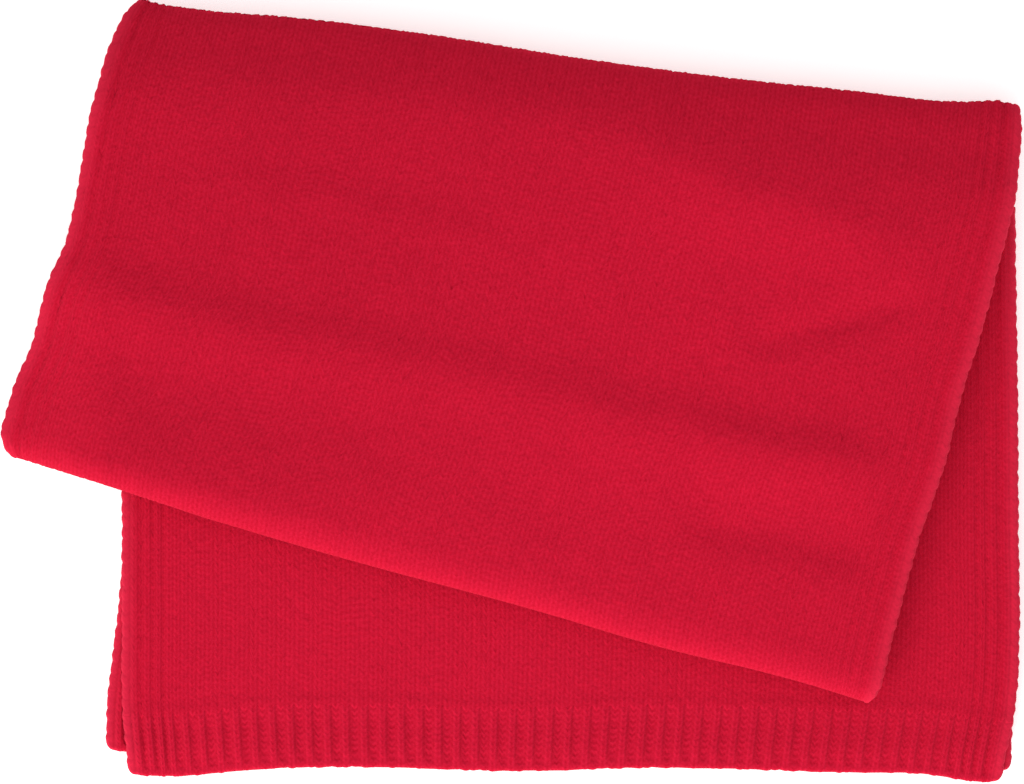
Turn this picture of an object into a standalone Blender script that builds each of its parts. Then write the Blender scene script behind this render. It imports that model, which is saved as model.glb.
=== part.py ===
"""A knit wool scarf, folded and lying flat.

The scarf is doubled twice, which gives a bundle of four layers with both ribbed ends together,
and the bundle's closed end is then turned back over itself as a slanted flap. It is one long
strip, so the solids here are the stretches of that strip that show: the floor stretch, the
flap with its two rolls, the front leaf, the under leaf and their ribbed ends. The layers that
no side shows are one rounded solid, grooved along its edges where layer lies on layer.

Metres. +X runs across the scarf, +Y towards the top roll and +Z up; the floor is z = 0.
"""

import math

import bmesh
import bpy
import numpy as np

MM = 0.001

# ---- cloth -----------------------------------------------------------------------------------
WALL = 2.4 * MM  # thickness of the knitted cloth
GAP = 0.3 * MM  # air between two pieces that touch
SELVEDGE = 1.0 * MM  # how far the rounded edge of a wall stands out
STEP = WALL + GAP  # rise from one layer to the next
LAYERS_DOWN = 4  # layers in the bundle
LAYERS_ALL = 8  # layers where the flap lies on the bundle

# ---- top roll: where the bundle turns back over itself ----------------------------------------
TOP_ROLL_LEFT = (-130.0 * MM, 132.8 * MM)  # ends of the roll's outermost line
TOP_ROLL_RIGHT = (172.6 * MM, 96.0 * MM)
ROLL_MIDDLE = 10.0 * MM  # height of that line
ROLL_CORNERS = (6.0 * MM, 2.5 * MM)  # how far the left and right edges are drawn in on that line
CREST_LEFT = (-135.8 * MM, 111.0 * MM)  # where the roll has become the flat of the flap
CREST_RIGHT = (167.6 * MM, 63.0 * MM)
FLOOR_SEAM_LEFT = (-130.0 * MM, 117.0 * MM)  # where the roll leaves the floor
FLOOR_SEAM_RIGHT = (167.5 * MM, 80.0 * MM)
# across: 0 at the left edge and 1 at the right; out: how far the roll's line leaves the straight
ROLL_WAVE = (
    # across, out
    (0.00, 0.0 * MM),
    (0.06, -1.2 * MM),
    (0.20, 0.0 * MM),
    (0.35, -0.4 * MM),
    (0.50, -2.1 * MM),
    (0.66, -2.6 * MM),
    (0.80, -1.9 * MM),
    (0.93, -1.0 * MM),
    (0.97, 0.8 * MM),
    (1.00, 0.0 * MM),
)

# ---- flap: its two edges, station by station from the crest of the top roll -------------------
FLAP_EDGES = (
    # station, left x, left y, right x, right y
    (0.00, -135.8 * MM, 111.0 * MM, 167.6 * MM, 63.0 * MM),
    (0.15, -141.0 * MM, 91.0 * MM, 162.6 * MM, 44.0 * MM),
    (0.31, -144.5 * MM, 70.6 * MM, 156.5 * MM, 20.5 * MM),
    (0.46, -149.0 * MM, 50.6 * MM, 149.8 * MM, -1.0 * MM),
    (0.60, -155.8 * MM, 35.0 * MM, 143.6 * MM, -26.0 * MM),
    (0.75, -160.6 * MM, 17.0 * MM, 135.9 * MM, -48.0 * MM),
    (0.88, -167.2 * MM, 1.5 * MM, 129.6 * MM, -71.0 * MM),
    (1.00, -171.2 * MM, -12.5 * MM, 124.2 * MM, -92.5 * MM),
)
FACE_ROWS = 16  # stations made between the two rolls

# ---- bottom roll: the bundle's closed end, which is the flap's free edge -----------------------
BOTTOM_ROLL_LEFT = (-172.4 * MM, -20.6 * MM)
BOTTOM_ROLL_RIGHT = (122.4 * MM, -105.0 * MM)
BOTTOM_CORNERS = (3.5 * MM, 3.0 * MM)
RETURN_ENDS_AT = 2  # the row of the flap's face below which the tucked-in stretch ends
BOTTOM_WAVE = (
    # across, out
    (0.00, 0.0 * MM),
    (0.12, 0.2 * MM),
    (0.25, 1.6 * MM),
    (0.40, 1.8 * MM),
    (0.60, 0.9 * MM),
    (0.75, 1.2 * MM),
    (0.90, -0.4 * MM),
    (1.00, 0.0 * MM),
)

# ---- bundle: front leaf and under leaf, with the ribbed ends ----------------------------------
SLOT_DEPTH = 34.0 * MM  # from the top roll's line to where the two leaves begin
LEAF_EDGES = (
    # y, left x, right x
    (100.0 * MM, -130.6 * MM, 168.4 * MM),
    (40.0 * MM, -130.8 * MM, 169.0 * MM),
    (0.0 * MM, -130.8 * MM, 169.6 * MM),
    (-50.0 * MM, -130.8 * MM, 169.9 * MM),
    (-80.0 * MM, -130.8 * MM, 170.2 * MM),
    (-107.0 * MM, -130.6 * MM, 168.6 * MM),
    (-121.0 * MM, -129.3 * MM, 165.8 * MM),
    (-131.0 * MM, -128.6 * MM, 164.2 * MM),
)
UNDER_EDGES = (
    # y, left x, right x
    (100.0 * MM, -129.4 * MM, 167.6 * MM),
    (-36.0 * MM, -129.4 * MM, 167.8 * MM),
    (-60.0 * MM, -131.1 * MM, 168.0 * MM),
    (-83.0 * MM, -133.5 * MM, 168.2 * MM),
    (-98.0 * MM, -135.4 * MM, 168.2 * MM),
    (-112.0 * MM, -136.3 * MM, 168.0 * MM),
    (-130.0 * MM, -136.0 * MM, 167.6 * MM),
)
RIB_HEIGHT = 20.0 * MM
RIB_RISE = 0.3 * MM  # the rib draws the cloth together, which thickens it on the free side
CAST_OFF_WALL = 1.9 * MM  # thickness at the cast-off edge
SAG_FROM_Y = -118.0 * MM  # past this line nothing lies under the ribbed ends, and they sag
SAG_RUN = 14.0 * MM
SAG = 1.4 * MM
FRONT_END = (
    # across, y of the cast-off edge
    (0.00, -128.4 * MM),
    (0.05, -128.8 * MM),
    (0.15, -126.4 * MM),
    (0.30, -125.8 * MM),
    (0.42, -127.0 * MM),
    (0.62, -125.9 * MM),
    (0.80, -127.4 * MM),
    (0.92, -128.4 * MM),
    (0.97, -130.6 * MM),
    (1.00, -130.8 * MM),
)
UNDER_END = (
    # across, y of the cast-off edge
    (0.00, -120.4 * MM),
    (0.50, -123.8 * MM),
    (1.00, -127.2 * MM),
)

# ---- floor stretch ---------------------------------------------------------------------------
FLOOR_EDGES = (
    # y, left x, right x
    (120.0 * MM, -130.0 * MM, 167.5 * MM),
    (0.0 * MM, -129.6 * MM, 167.4 * MM),
    (-130.0 * MM, -129.8 * MM, 167.0 * MM),
)
FLOOR_FOLD_Y = -117.5 * MM  # the strip's middle fold, which lies on the floor below the ribs
FLOOR_RETURN = 16.0 * MM  # length that this fold tucks back over the floor stretch

# ---- relief of the flap ----------------------------------------------------------------------
# The flap hangs over the bundle's left edge and sinks to the floor there.
OVERHANG_X = -134.0 * MM
OVERHANG_RUN = 37.0 * MM
OVERHANG_DROP = 10.6 * MM
# Soft ridges and troughs, each along a straight line
FLAP_WAVES = (
    # x0, y0, x1, y1, height, half width
    (-118.0 * MM, 96.0 * MM, 155.0 * MM, 52.0 * MM, 0.9 * MM, 17.0 * MM),
    (-110.0 * MM, 42.0 * MM, 110.0 * MM, 2.0 * MM, -0.8 * MM, 12.0 * MM),
    (-150.0 * MM, 37.0 * MM, -32.0 * MM, 7.5 * MM, 1.3 * MM, 10.0 * MM),
    (-32.0 * MM, 7.5 * MM, 100.0 * MM, -22.0 * MM, 1.3 * MM, 10.0 * MM),
    (60.0 * MM, -52.0 * MM, 112.0 * MM, -66.0 * MM, -0.7 * MM, 11.0 * MM),
)

# ---- hidden layers ---------------------------------------------------------------------------
CORE_GAP = 0.5 * MM  # air between them and the flap
CORE_INSET = 1.4 * MM  # how far their edges lie inside the flap's
CORE_GROOVE = 0.9 * MM  # depth of the groove between two layers
HIDDEN_LAYERS = 2  # layers that its edges show

# ---- sections --------------------------------------------------------------------------------
# Degrees round each roll: 0 on its outermost line, 90 where it has become the flap's face
TOP_ROLL_TURNS = (-90, -62, -35, -12, 10, 28, 46, 62, 77)
SLOT_TURNS = (-80, -50, -25, -8, 8, 25, 40, 55, 70)  # of the slot's rounded end, one for each
BOTTOM_ROLL_TURNS = (68, 45, 22, 0, -22, -45, -68)
CORE_NOSE_TURNS = (68, 45, 22)
FLOOR_FOLD_TURNS = (60, 30, 0, -30, -60)
LEAF_PARTS = (0.0, 0.2, 0.4, 0.6, 0.8, 0.92, 1.0)
RIB_PARTS = (0.0, 0.2, 0.4, 0.6, 0.75, 0.88, 1.0)
# Columns across the strip, closer together at the left, where the flap sinks
COLUMNS = (0.0, 0.022, 0.046, 0.07, 0.096, 0.13, 0.18, 0.24, 0.31, 0.38, 0.45,
           0.52, 0.59, 0.66, 0.73, 0.80, 0.87, 0.93, 0.97, 1.0)  # fmt: skip
PLAIN_COLUMNS = (0.0, 0.05, 0.15, 0.30, 0.42, 0.52, 0.62, 0.71, 0.80, 0.87, 0.92, 0.97, 1.0)


def layer_floor(n):
    """Height of the under side of layer n, counted from the floor."""
    return n * STEP


def layer_top(n):
    return n * STEP + WALL


FLAP_TOP = layer_top(LAYERS_ALL - 1)
FLAP_FLOOR = layer_floor(LAYERS_DOWN)
BOTTOM_MIDDLE = (FLAP_TOP + FLAP_FLOOR) / 2


def read(table, at, column):
    """A column of a table, read between its rows, where the first column is `at`."""
    rows = np.array(sorted(table))
    return float(np.interp(at, rows[:, 0], rows[:, column]))


def between(a, b, share):
    return np.array(a) * (1 - share) + np.array(b) * share


def smooth(share):
    share = min(max(share, 0.0), 1.0)
    return share * share * (3 - 2 * share)


def overhang(x):
    """How far the flap has sunk at x."""
    return OVERHANG_DROP * smooth((OVERHANG_X - x) / OVERHANG_RUN)


def end_sag(y):
    """How far the ribbed ends have sunk at y."""
    return SAG * smooth((SAG_FROM_Y - y) / SAG_RUN)


def relief(x, y):
    """Height that the flap's ridges and troughs add at a point."""
    total = 0.0
    for x0, y0, x1, y1, height, half_width in FLAP_WAVES:
        along = np.array([x1 - x0, y1 - y0])
        length = np.hypot(*along)
        along /= length
        from_start = np.array([x - x0, y - y0])
        on_line = min(max(from_start @ along, 0.0), length)
        off_line = np.hypot(*(from_start - on_line * along))
        total += height * math.exp(-((off_line / half_width) ** 2))
    return total


# ---- rolls -----------------------------------------------------------------------------------
def away(left, right, outward_y):
    """Unit vector square to the line from left to right, pointing to +Y or to -Y."""
    run = np.array(right) - np.array(left)
    square = np.array([-run[1], run[0]]) / np.hypot(*run)
    return square * outward_y


def top_roll_line(share):
    out = read(ROLL_WAVE, share, 1) * away(TOP_ROLL_LEFT, TOP_ROLL_RIGHT, 1)
    return between(TOP_ROLL_LEFT, TOP_ROLL_RIGHT, share) + out


def bottom_roll_line(share):
    out = read(BOTTOM_WAVE, share, 1) * away(BOTTOM_ROLL_LEFT, BOTTOM_ROLL_RIGHT, -1)
    return between(BOTTOM_ROLL_LEFT, BOTTOM_ROLL_RIGHT, share) + out


def drawn_in(share, angle, left, right, corners, edge):
    """Shift that rounds a roll's corners: it is full on the outermost line, at the very edge."""
    run = np.array(right) - np.array(left)
    run = run / np.hypot(*run)
    from_left = max(1 - share / edge, 0.0) * corners[0]
    from_right = max(1 - (1 - share) / edge, 0.0) * corners[1]
    return run * (from_left - from_right) * math.cos(angle) ** 2


def roll_point(line, flat, angle, depth, middle, half_height):
    """A point of a roll's section. angle is 0 on the outermost line and a right angle where the
    section has become flat; depth is the distance inside the roll's outer surface."""
    reach = np.hypot(*(flat - line))
    plan = line + (flat - line) * (1 - (1 - depth / reach) * math.cos(angle))
    height = middle + (half_height - depth) * math.sin(angle)
    return plan, height


def top_roll_row(angle, depth, inset):
    """One row of the top roll, from the floor at -90 degrees to the crest at 90."""
    points = []
    for share in COLUMNS:
        line = top_roll_line(share)
        line = line + drawn_in(share, angle, TOP_ROLL_LEFT, TOP_ROLL_RIGHT, ROLL_CORNERS, 0.05)
        if angle < 0:
            flat = between(FLOOR_SEAM_LEFT, FLOOR_SEAM_RIGHT, share)
            half_height = ROLL_MIDDLE
        else:
            flat = between(CREST_LEFT, CREST_RIGHT, share)
            half_height = FLAP_TOP - ROLL_MIDDLE
        plan, height = roll_point(line, flat, angle, depth, ROLL_MIDDLE, half_height)
        if angle > 0:
            height += relief(*plan) * math.sin(angle) ** 2
        points.append((*plan, height - overhang(plan[0])))
    return pulled_in(points, inset)


def bottom_roll_row(angle, depth, inset):
    """One row of the bottom roll, from the flap's face at 90 degrees to its under side at -90."""
    points = []
    for share in COLUMNS:
        line = bottom_roll_line(share)
        line = line + drawn_in(share, angle, BOTTOM_ROLL_LEFT, BOTTOM_ROLL_RIGHT, BOTTOM_CORNERS, 0.03)
        flat = flap_point(1.0, share)
        half_height = (FLAP_TOP - FLAP_FLOOR) / 2
        plan, height = roll_point(line, flat, angle, depth, BOTTOM_MIDDLE, half_height)
        height += relief(*plan) * (1 + math.sin(angle)) / 2
        points.append((*plan, height - overhang(plan[0])))
    return pulled_in(points, inset)


def flap_point(station, share):
    left = (read(FLAP_EDGES, station, 1), read(FLAP_EDGES, station, 2))
    right = (read(FLAP_EDGES, station, 3), read(FLAP_EDGES, station, 4))
    return between(left, right, share)


def flap_row(station, height, waves, inset):
    """A row of the flap at a height, with its share of the waves."""
    points = []
    for share in COLUMNS:
        x, y = flap_point(station, share)
        points.append((x, y, height + waves * relief(x, y) - overhang(x)))
    return pulled_in(points, inset)


def leaf_row(edges, y_at, height, columns=PLAIN_COLUMNS, inset=SELVEDGE):
    """A row across a flat leaf. y_at gives the row's own line, which may slope or wave."""
    points = []
    for share in columns:
        y = y_at(share)
        x = (read(edges, y, 1) * (1 - share)) + (read(edges, y, 2) * share)
        points.append((x, y, height))
    return pulled_in(points, inset)


def pulled_in(points, inset):
    """The same row with both ends moved towards the middle."""
    points = [np.array(p, float) for p in points]
    for end, neighbour in ((0, 1), (-1, -2)):
        run = points[neighbour] - points[end]
        points[end] = points[end] + run / np.linalg.norm(run) * inset
    return points


# ---- solids ----------------------------------------------------------------------------------
def ring(under, over, layers=1):
    """The closed ring of one row: its under side, an edge, its over side and the other edge.
    Each layer's edge is rounded, so two layers leave a groove between them."""
    levels = 2 * layers

    def edge(end, neighbour):
        out = (under[end] + over[end] - under[neighbour] - over[neighbour]) / 2
        out /= np.linalg.norm(out)
        found = []
        for level in range(1, levels):
            bulge = CORE_GROOVE if layers > 1 else SELVEDGE
            shift = out * bulge * (level % 2)
            found.append(between(under[end], over[end], level / levels) + shift)
        return found

    return [*under, *edge(-1, -2), *over[::-1], *edge(0, 1)[::-1]]


def solid(name, rings, across, material):
    """Lofts a solid through rings of equal length and closes its two ends."""
    bm = bmesh.new()
    loops = [[bm.verts.new(point) for point in points] for points in rings]
    size = len(loops[0])
    levels = (size - 2 * across) // 2
    over_from = across + levels
    for lower, upper in zip(loops, loops[1:]):
        for i in range(size):
            j = (i + 1) % size
            face = (lower[i], lower[j], upper[j], upper[i])
            # The over side starts at its other corner, so that both sides split the same way.
            bm.faces.new(face if i < over_from else face[1:] + face[:1])
    for loop in (loops[0], loops[-1]):
        under = loop[:across]
        over = loop[over_from : over_from + across][::-1]
        for i in range(across - 1):
            bm.faces.new((under[i], under[i + 1], over[i + 1], over[i]))
        bm.faces.new((under[-1], *loop[across : across + levels], over[-1]))
        bm.faces.new((over[0], *loop[over_from + across :], under[0]))
    bmesh.ops.recalc_face_normals(bm, faces=bm.faces)
    bmesh.ops.triangulate(bm, faces=bm.faces, quad_method="FIXED")
    mesh = bpy.data.meshes.new(name)
    bm.to_mesh(mesh)
    bm.free()
    mesh.shade_smooth()
    mesh.set_sharp_from_angle(angle=math.radians(50))
    mesh.materials.append(material)
    made = bpy.data.objects.new(name, mesh)
    bpy.context.collection.objects.link(made)
    return made


def wool(name, colour):
    material = bpy.data.materials.new(name)
    material.use_nodes = True
    shader = material.node_tree.nodes["Principled BSDF"]
    shader.inputs["Base Color"].default_value = (*colour, 1)
    shader.inputs["Roughness"].default_value = 0.95
    shader.inputs["Metallic"].default_value = 0.0
    material.diffuse_color = (*colour, 1)
    return material


STOCKINETTE_RED = (0.56, 0.012, 0.035)
RIB_RED = (0.60, 0.016, 0.042)


def flap_stretch():
    """The stretch that rises from the floor, rolls over the top, is the flap's face, rolls
    under at its free edge and is tucked in there."""
    rings = []
    for angle in TOP_ROLL_TURNS:
        turn = math.radians(angle)
        rings.append(ring(top_roll_row(turn, WALL, SELVEDGE), top_roll_row(turn, 0, SELVEDGE)))
    for n in range(FACE_ROWS + 1):
        under = flap_row(n / FACE_ROWS, FLAP_TOP - WALL, 1.0, SELVEDGE)
        rings.append(ring(under, flap_row(n / FACE_ROWS, FLAP_TOP, 1.0, SELVEDGE)))
    for angle in BOTTOM_ROLL_TURNS:
        turn = math.radians(angle)
        under = bottom_roll_row(turn, WALL, SELVEDGE)
        rings.append(ring(under, bottom_roll_row(turn, 0, SELVEDGE)))
    for n in range(FACE_ROWS, RETURN_ENDS_AT - 1, -1):
        under = flap_row(n / FACE_ROWS, FLAP_FLOOR + WALL, 0.0, SELVEDGE)
        rings.append(ring(under, flap_row(n / FACE_ROWS, FLAP_FLOOR, 0.0, SELVEDGE)))
    return solid("flap_stretch", rings, len(COLUMNS), wool("flap_wool", STOCKINETTE_RED))


def floor_seam(share):
    return between(FLOOR_SEAM_LEFT, FLOOR_SEAM_RIGHT, share)[1] - GAP


def floor_stretch():
    """The stretch that lies on the floor, with the strip's middle fold at its near end."""

    def straight_row(y, height):
        return leaf_row(FLOOR_EDGES, lambda share: y, height)

    fold_middle_y = FLOOR_FOLD_Y + STEP / 2 + WALL / 2
    rings = []
    for y in (FLOOR_FOLD_Y + FLOOR_RETURN, fold_middle_y):
        rings.append(ring(straight_row(y, layer_floor(1)), straight_row(y, layer_top(1))))
    for angle in FLOOR_FOLD_TURNS:
        turn = math.radians(angle)
        rows = []
        for reach in (STEP / 2 - WALL / 2, STEP / 2 + WALL / 2):
            y = fold_middle_y - reach * math.cos(turn)
            rows.append(straight_row(y, STEP / 2 + WALL / 2 + reach * math.sin(turn)))
        rings.append(ring(*rows))
    for y in (fold_middle_y, -60 * MM, 0.0, 60 * MM):
        rings.append(ring(straight_row(y, WALL), straight_row(y, 0)))
    rings.append(ring(leaf_row(FLOOR_EDGES, floor_seam, WALL), leaf_row(FLOOR_EDGES, floor_seam, 0)))
    return solid("floor_stretch", rings, len(PLAIN_COLUMNS), wool("floor_wool", STOCKINETTE_RED))


def slot_line(share, extra=0.0):
    """y of the line, parallel to the top roll, where the two leaves begin."""
    square = away(TOP_ROLL_LEFT, TOP_ROLL_RIGHT, 1)
    return between(TOP_ROLL_LEFT, TOP_ROLL_RIGHT, share)[1] - (SLOT_DEPTH + extra) / square[1]


def rib_top(end_table, share):
    return read(end_table, share, 1) + RIB_HEIGHT


def leaf(name, edges, end_table, layer, colour):
    """A flat leaf of the bundle, from the slot under the top roll down to its ribbed end."""
    rings = []
    for part in LEAF_PARTS:

        def y_at(share, part=part):
            return slot_line(share) * (1 - part) + (rib_top(end_table, share) + GAP) * part

        under = leaf_row(edges, y_at, layer_floor(layer))
        rings.append(ring(under, leaf_row(edges, y_at, layer_top(layer))))
    return solid(name, rings, len(PLAIN_COLUMNS), wool(name + "_wool", colour))


def ribbed_end(name, edges, end_table, layer, rise, colour):
    """A ribbed end, from its leaf to the cast-off edge."""
    rings = []
    for part in RIB_PARTS:

        def y_at(share, part=part):
            return rib_top(end_table, share) - RIB_HEIGHT * part

        thinner = (WALL - CAST_OFF_WALL) / 2 if part == 1 else 0.0
        top = layer_top(layer) - thinner + (rise if 0 < part < 1 else 0.0)
        under = leaf_row(edges, y_at, layer_floor(layer) + thinner)
        over = leaf_row(edges, y_at, top)
        rings.append(ring(sagging(under), sagging(over)))
    return solid(name, rings, len(PLAIN_COLUMNS), wool(name + "_wool", colour))


def sagging(row):
    return [point - np.array([0, 0, end_sag(point[1])]) for point in row]


def hidden_layers():
    """The layers inside: one solid that lies on the floor stretch, goes round inside the top
    roll and fills the flap, with a slot at its open side for the two leaves."""
    rings = []
    inset = CORE_GROOVE + CORE_INSET
    depth = WALL + CORE_GAP
    start_y = FLOOR_FOLD_Y + FLOOR_RETURN + GAP

    def lower_row(part, height):
        def y_at(share):
            return start_y * (1 - part) + slot_line(share) * part

        return leaf_row(FLOOR_EDGES, y_at, height, COLUMNS, inset)

    def slot_row(turn):
        """The slot's rounded end."""
        half = (layer_floor(LAYERS_DOWN) - layer_top(1)) / 2
        height = layer_top(1) + half + half * math.sin(turn)

        def y_at(share):
            return slot_line(share, -GAP - half * math.cos(turn))

        return leaf_row(FLOOR_EDGES, y_at, height, COLUMNS, inset)

    for part in (0.0, 0.5, 1.0):
        rows = lower_row(part, layer_top(1)), lower_row(part, layer_floor(1))
        rings.append(ring(*rows, HIDDEN_LAYERS))
    for angle, slot_angle in zip(TOP_ROLL_TURNS, SLOT_TURNS):
        over = top_roll_row(math.radians(angle), depth, inset)
        rings.append(ring(slot_row(math.radians(slot_angle)), over, HIDDEN_LAYERS))
    for n in range(FACE_ROWS + 1):
        station = n / FACE_ROWS
        raised = STEP if n >= RETURN_ENDS_AT else 0.0
        under = flap_row(station, FLAP_FLOOR + raised, 0.0, inset)
        over = flap_row(station, FLAP_TOP - depth, 1.0, inset)
        rings.append(ring(under, over, HIDDEN_LAYERS))
    for angle in CORE_NOSE_TURNS:
        over = bottom_roll_row(math.radians(angle), depth, inset)
        under = bottom_roll_row(math.radians(-angle), depth, inset)
        rings.append(ring(under, over, HIDDEN_LAYERS))
    return solid("hidden_layers", rings, len(COLUMNS), wool("hidden_wool", STOCKINETTE_RED))


def centre_on_floor(objects):
    """Puts the origin under the middle of the whole scarf, on the floor."""
    points = np.array([v.co for o in objects for v in o.data.vertices])
    low, high = points.min(axis=0), points.max(axis=0)
    middle = (low + high) / 2
    for o in objects:
        for v in o.data.vertices:
            v.co.x -= middle[0]
            v.co.y -= middle[1]
            v.co.z -= low[2]


def main():
    for old in list(bpy.data.objects):
        bpy.data.objects.remove(old)
    objects = [
        floor_stretch(),
        flap_stretch(),
        hidden_layers(),
        leaf("front_leaf", LEAF_EDGES, FRONT_END, 3, STOCKINETTE_RED),
        ribbed_end("front_rib", LEAF_EDGES, FRONT_END, 3, RIB_RISE, RIB_RED),
        leaf("under_leaf", UNDER_EDGES, UNDER_END, 2, STOCKINETTE_RED),
        ribbed_end("under_rib", UNDER_EDGES, UNDER_END, 2, 0.0, RIB_RED),
    ]
    centre_on_floor(objects)


main()
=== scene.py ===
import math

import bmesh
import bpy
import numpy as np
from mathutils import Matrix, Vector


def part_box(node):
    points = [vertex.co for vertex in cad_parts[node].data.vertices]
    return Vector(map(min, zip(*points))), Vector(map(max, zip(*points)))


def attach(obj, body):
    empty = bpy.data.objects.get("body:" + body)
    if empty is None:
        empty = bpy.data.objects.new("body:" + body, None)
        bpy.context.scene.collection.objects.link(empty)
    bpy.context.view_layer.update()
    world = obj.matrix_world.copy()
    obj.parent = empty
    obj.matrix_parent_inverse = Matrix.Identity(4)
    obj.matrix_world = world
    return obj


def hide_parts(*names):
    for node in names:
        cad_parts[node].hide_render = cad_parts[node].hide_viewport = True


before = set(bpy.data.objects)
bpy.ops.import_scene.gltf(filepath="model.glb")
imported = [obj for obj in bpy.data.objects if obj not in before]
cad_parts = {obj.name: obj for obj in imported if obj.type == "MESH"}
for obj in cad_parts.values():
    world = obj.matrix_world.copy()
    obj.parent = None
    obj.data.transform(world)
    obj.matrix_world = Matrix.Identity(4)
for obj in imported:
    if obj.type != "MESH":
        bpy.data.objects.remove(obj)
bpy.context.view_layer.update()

# %% [markdown]
# # A knit wool scarf, folded
#
# The scarf is one long strip of felted knitting. It is doubled twice, which makes a bundle of
# four layers with both ribbed ends together, and the bundle's closed end is then turned back
# over itself as a slanted flap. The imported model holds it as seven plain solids. Here each
# solid is replaced by the real cloth: stitches, edge chains, ribs, creases and wool.
#
# Every measure is in metres, so lengths are written as millimetres times `MM`.

MM = 0.001

# %% [markdown]
# ## Sizes of the cloth
#
# A wall of felted stockinette is as thick as two strands of its yarn, about 2.4 mm. Layers lie
# a hair apart. A *wale* is a column of stitches and a *course* is a row of them. Along both
# edges runs a chain, then a narrow border of ribs, so that the strip doesn't curl.

# %% Cloth and stitches
WALL = 2.4 * MM
GAP = 0.3 * MM
STEP = WALL + GAP
WIDTH = 300 * MM
COURSE = 2.05 * MM
BORDER = (
    # kind of wale, width
    ("chain", 3.1 * MM),
    ("knit", 2.5 * MM),
    ("purl", 1.8 * MM),
    ("knit", 2.4 * MM),
    ("purl", 1.6 * MM),
    ("knit", 2.0 * MM),
    ("purl", 1.4 * MM),
)
BODY_WALES = 89
BORDER_WIDTH = sum(width for _, width in BORDER)
BODY_WALE = (WIDTH - 2 * BORDER_WIDTH) / BODY_WALES
DRAWN_IN = 0.23  # how much narrower a wale is beside the border
DRAWN_WALES = 5.0  # over how many wales that wears off
print(f"{BODY_WALES} body wales of {BODY_WALE / MM:.2f} mm between borders of {BORDER_WIDTH / MM:.1f} mm")

# %% [markdown]
# ## Where the folds lie
#
# These are the same driving values as in the model's own source: the two rolls, the edges of
# the flap and of the leaves, and the cast-off edges of the ribs. The model was centred on its
# own box, so everything is moved by the same small amount, which is measured here.

# %% Rolls and edges
FLAP_TOP = 7 * STEP + WALL
FLAP_FLOOR = 4 * STEP
ROLL_MIDDLE = 10.0 * MM
TOP_ROLL = ((-130.0 * MM, 132.8 * MM), (172.6 * MM, 96.0 * MM))
TOP_CORNERS = (6.0 * MM, 2.5 * MM)
TOP_CORNER_SHARE = 0.05
FLOOR_SEAM = (117.0 * MM, 80.0 * MM)  # y at the left and right edges
BOTTOM_ROLL = ((-172.4 * MM, -20.6 * MM), (122.4 * MM, -105.0 * MM))
BOTTOM_CORNERS = (5.0 * MM, 3.5 * MM)
BOTTOM_CORNER_SHARE = 0.04
TOP_WAVE = (
    # across, out
    (0.00, 0.0 * MM),
    (0.06, -1.2 * MM),
    (0.20, 0.0 * MM),
    (0.35, -0.4 * MM),
    (0.50, -2.1 * MM),
    (0.66, -2.6 * MM),
    (0.80, -1.9 * MM),
    (0.93, -1.0 * MM),
    (0.97, 0.8 * MM),
    (1.00, 0.0 * MM),
)
BOTTOM_WAVE = (
    # across, out
    (0.00, 0.0 * MM),
    (0.12, 0.2 * MM),
    (0.25, 1.6 * MM),
    (0.40, 1.8 * MM),
    (0.60, 0.9 * MM),
    (0.75, 1.2 * MM),
    (0.90, -0.4 * MM),
    (1.00, 0.0 * MM),
)
FLAP_EDGES = (
    # station, left x, left y, right x, right y
    (0.00, -135.8 * MM, 111.0 * MM, 167.6 * MM, 63.0 * MM),
    (0.15, -141.0 * MM, 91.0 * MM, 162.6 * MM, 44.0 * MM),
    (0.31, -144.5 * MM, 70.6 * MM, 156.5 * MM, 20.5 * MM),
    (0.46, -149.0 * MM, 50.6 * MM, 149.8 * MM, -1.0 * MM),
    (0.60, -155.8 * MM, 35.0 * MM, 143.6 * MM, -26.0 * MM),
    (0.75, -160.6 * MM, 17.0 * MM, 135.9 * MM, -48.0 * MM),
    (0.88, -167.2 * MM, 1.5 * MM, 129.6 * MM, -71.0 * MM),
    (1.00, -171.2 * MM, -12.5 * MM, 124.2 * MM, -92.5 * MM),
)

# %% Leaves, ribs and floor stretch
LEAF_EDGES = (
    # y, left x, right x
    (100.0 * MM, -130.6 * MM, 168.4 * MM),
    (40.0 * MM, -130.8 * MM, 169.0 * MM),
    (0.0 * MM, -130.8 * MM, 169.6 * MM),
    (-50.0 * MM, -130.8 * MM, 169.9 * MM),
    (-80.0 * MM, -130.8 * MM, 170.2 * MM),
    (-107.0 * MM, -130.6 * MM, 168.6 * MM),
    (-121.0 * MM, -129.3 * MM, 165.8 * MM),
    (-131.0 * MM, -128.6 * MM, 164.2 * MM),
)
UNDER_EDGES = (
    # y, left x, right x
    (100.0 * MM, -129.4 * MM, 167.6 * MM),
    (-36.0 * MM, -129.4 * MM, 167.8 * MM),
    (-60.0 * MM, -131.1 * MM, 168.0 * MM),
    (-83.0 * MM, -133.5 * MM, 168.2 * MM),
    (-98.0 * MM, -135.4 * MM, 168.2 * MM),
    (-112.0 * MM, -136.3 * MM, 168.0 * MM),
    (-130.0 * MM, -136.0 * MM, 167.6 * MM),
)
FLOOR_EDGES = (
    # y, left x, right x
    (120.0 * MM, -130.0 * MM, 167.5 * MM),
    (0.0 * MM, -129.6 * MM, 167.4 * MM),
    (-130.0 * MM, -129.8 * MM, 167.0 * MM),
)
FRONT_END = (
    # across, y of the cast-off edge
    (0.00, -128.4 * MM),
    (0.05, -128.8 * MM),
    (0.15, -126.4 * MM),
    (0.30, -125.8 * MM),
    (0.42, -127.0 * MM),
    (0.62, -125.9 * MM),
    (0.80, -127.4 * MM),
    (0.92, -128.4 * MM),
    (0.97, -130.6 * MM),
    (1.00, -130.8 * MM),
)
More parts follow.
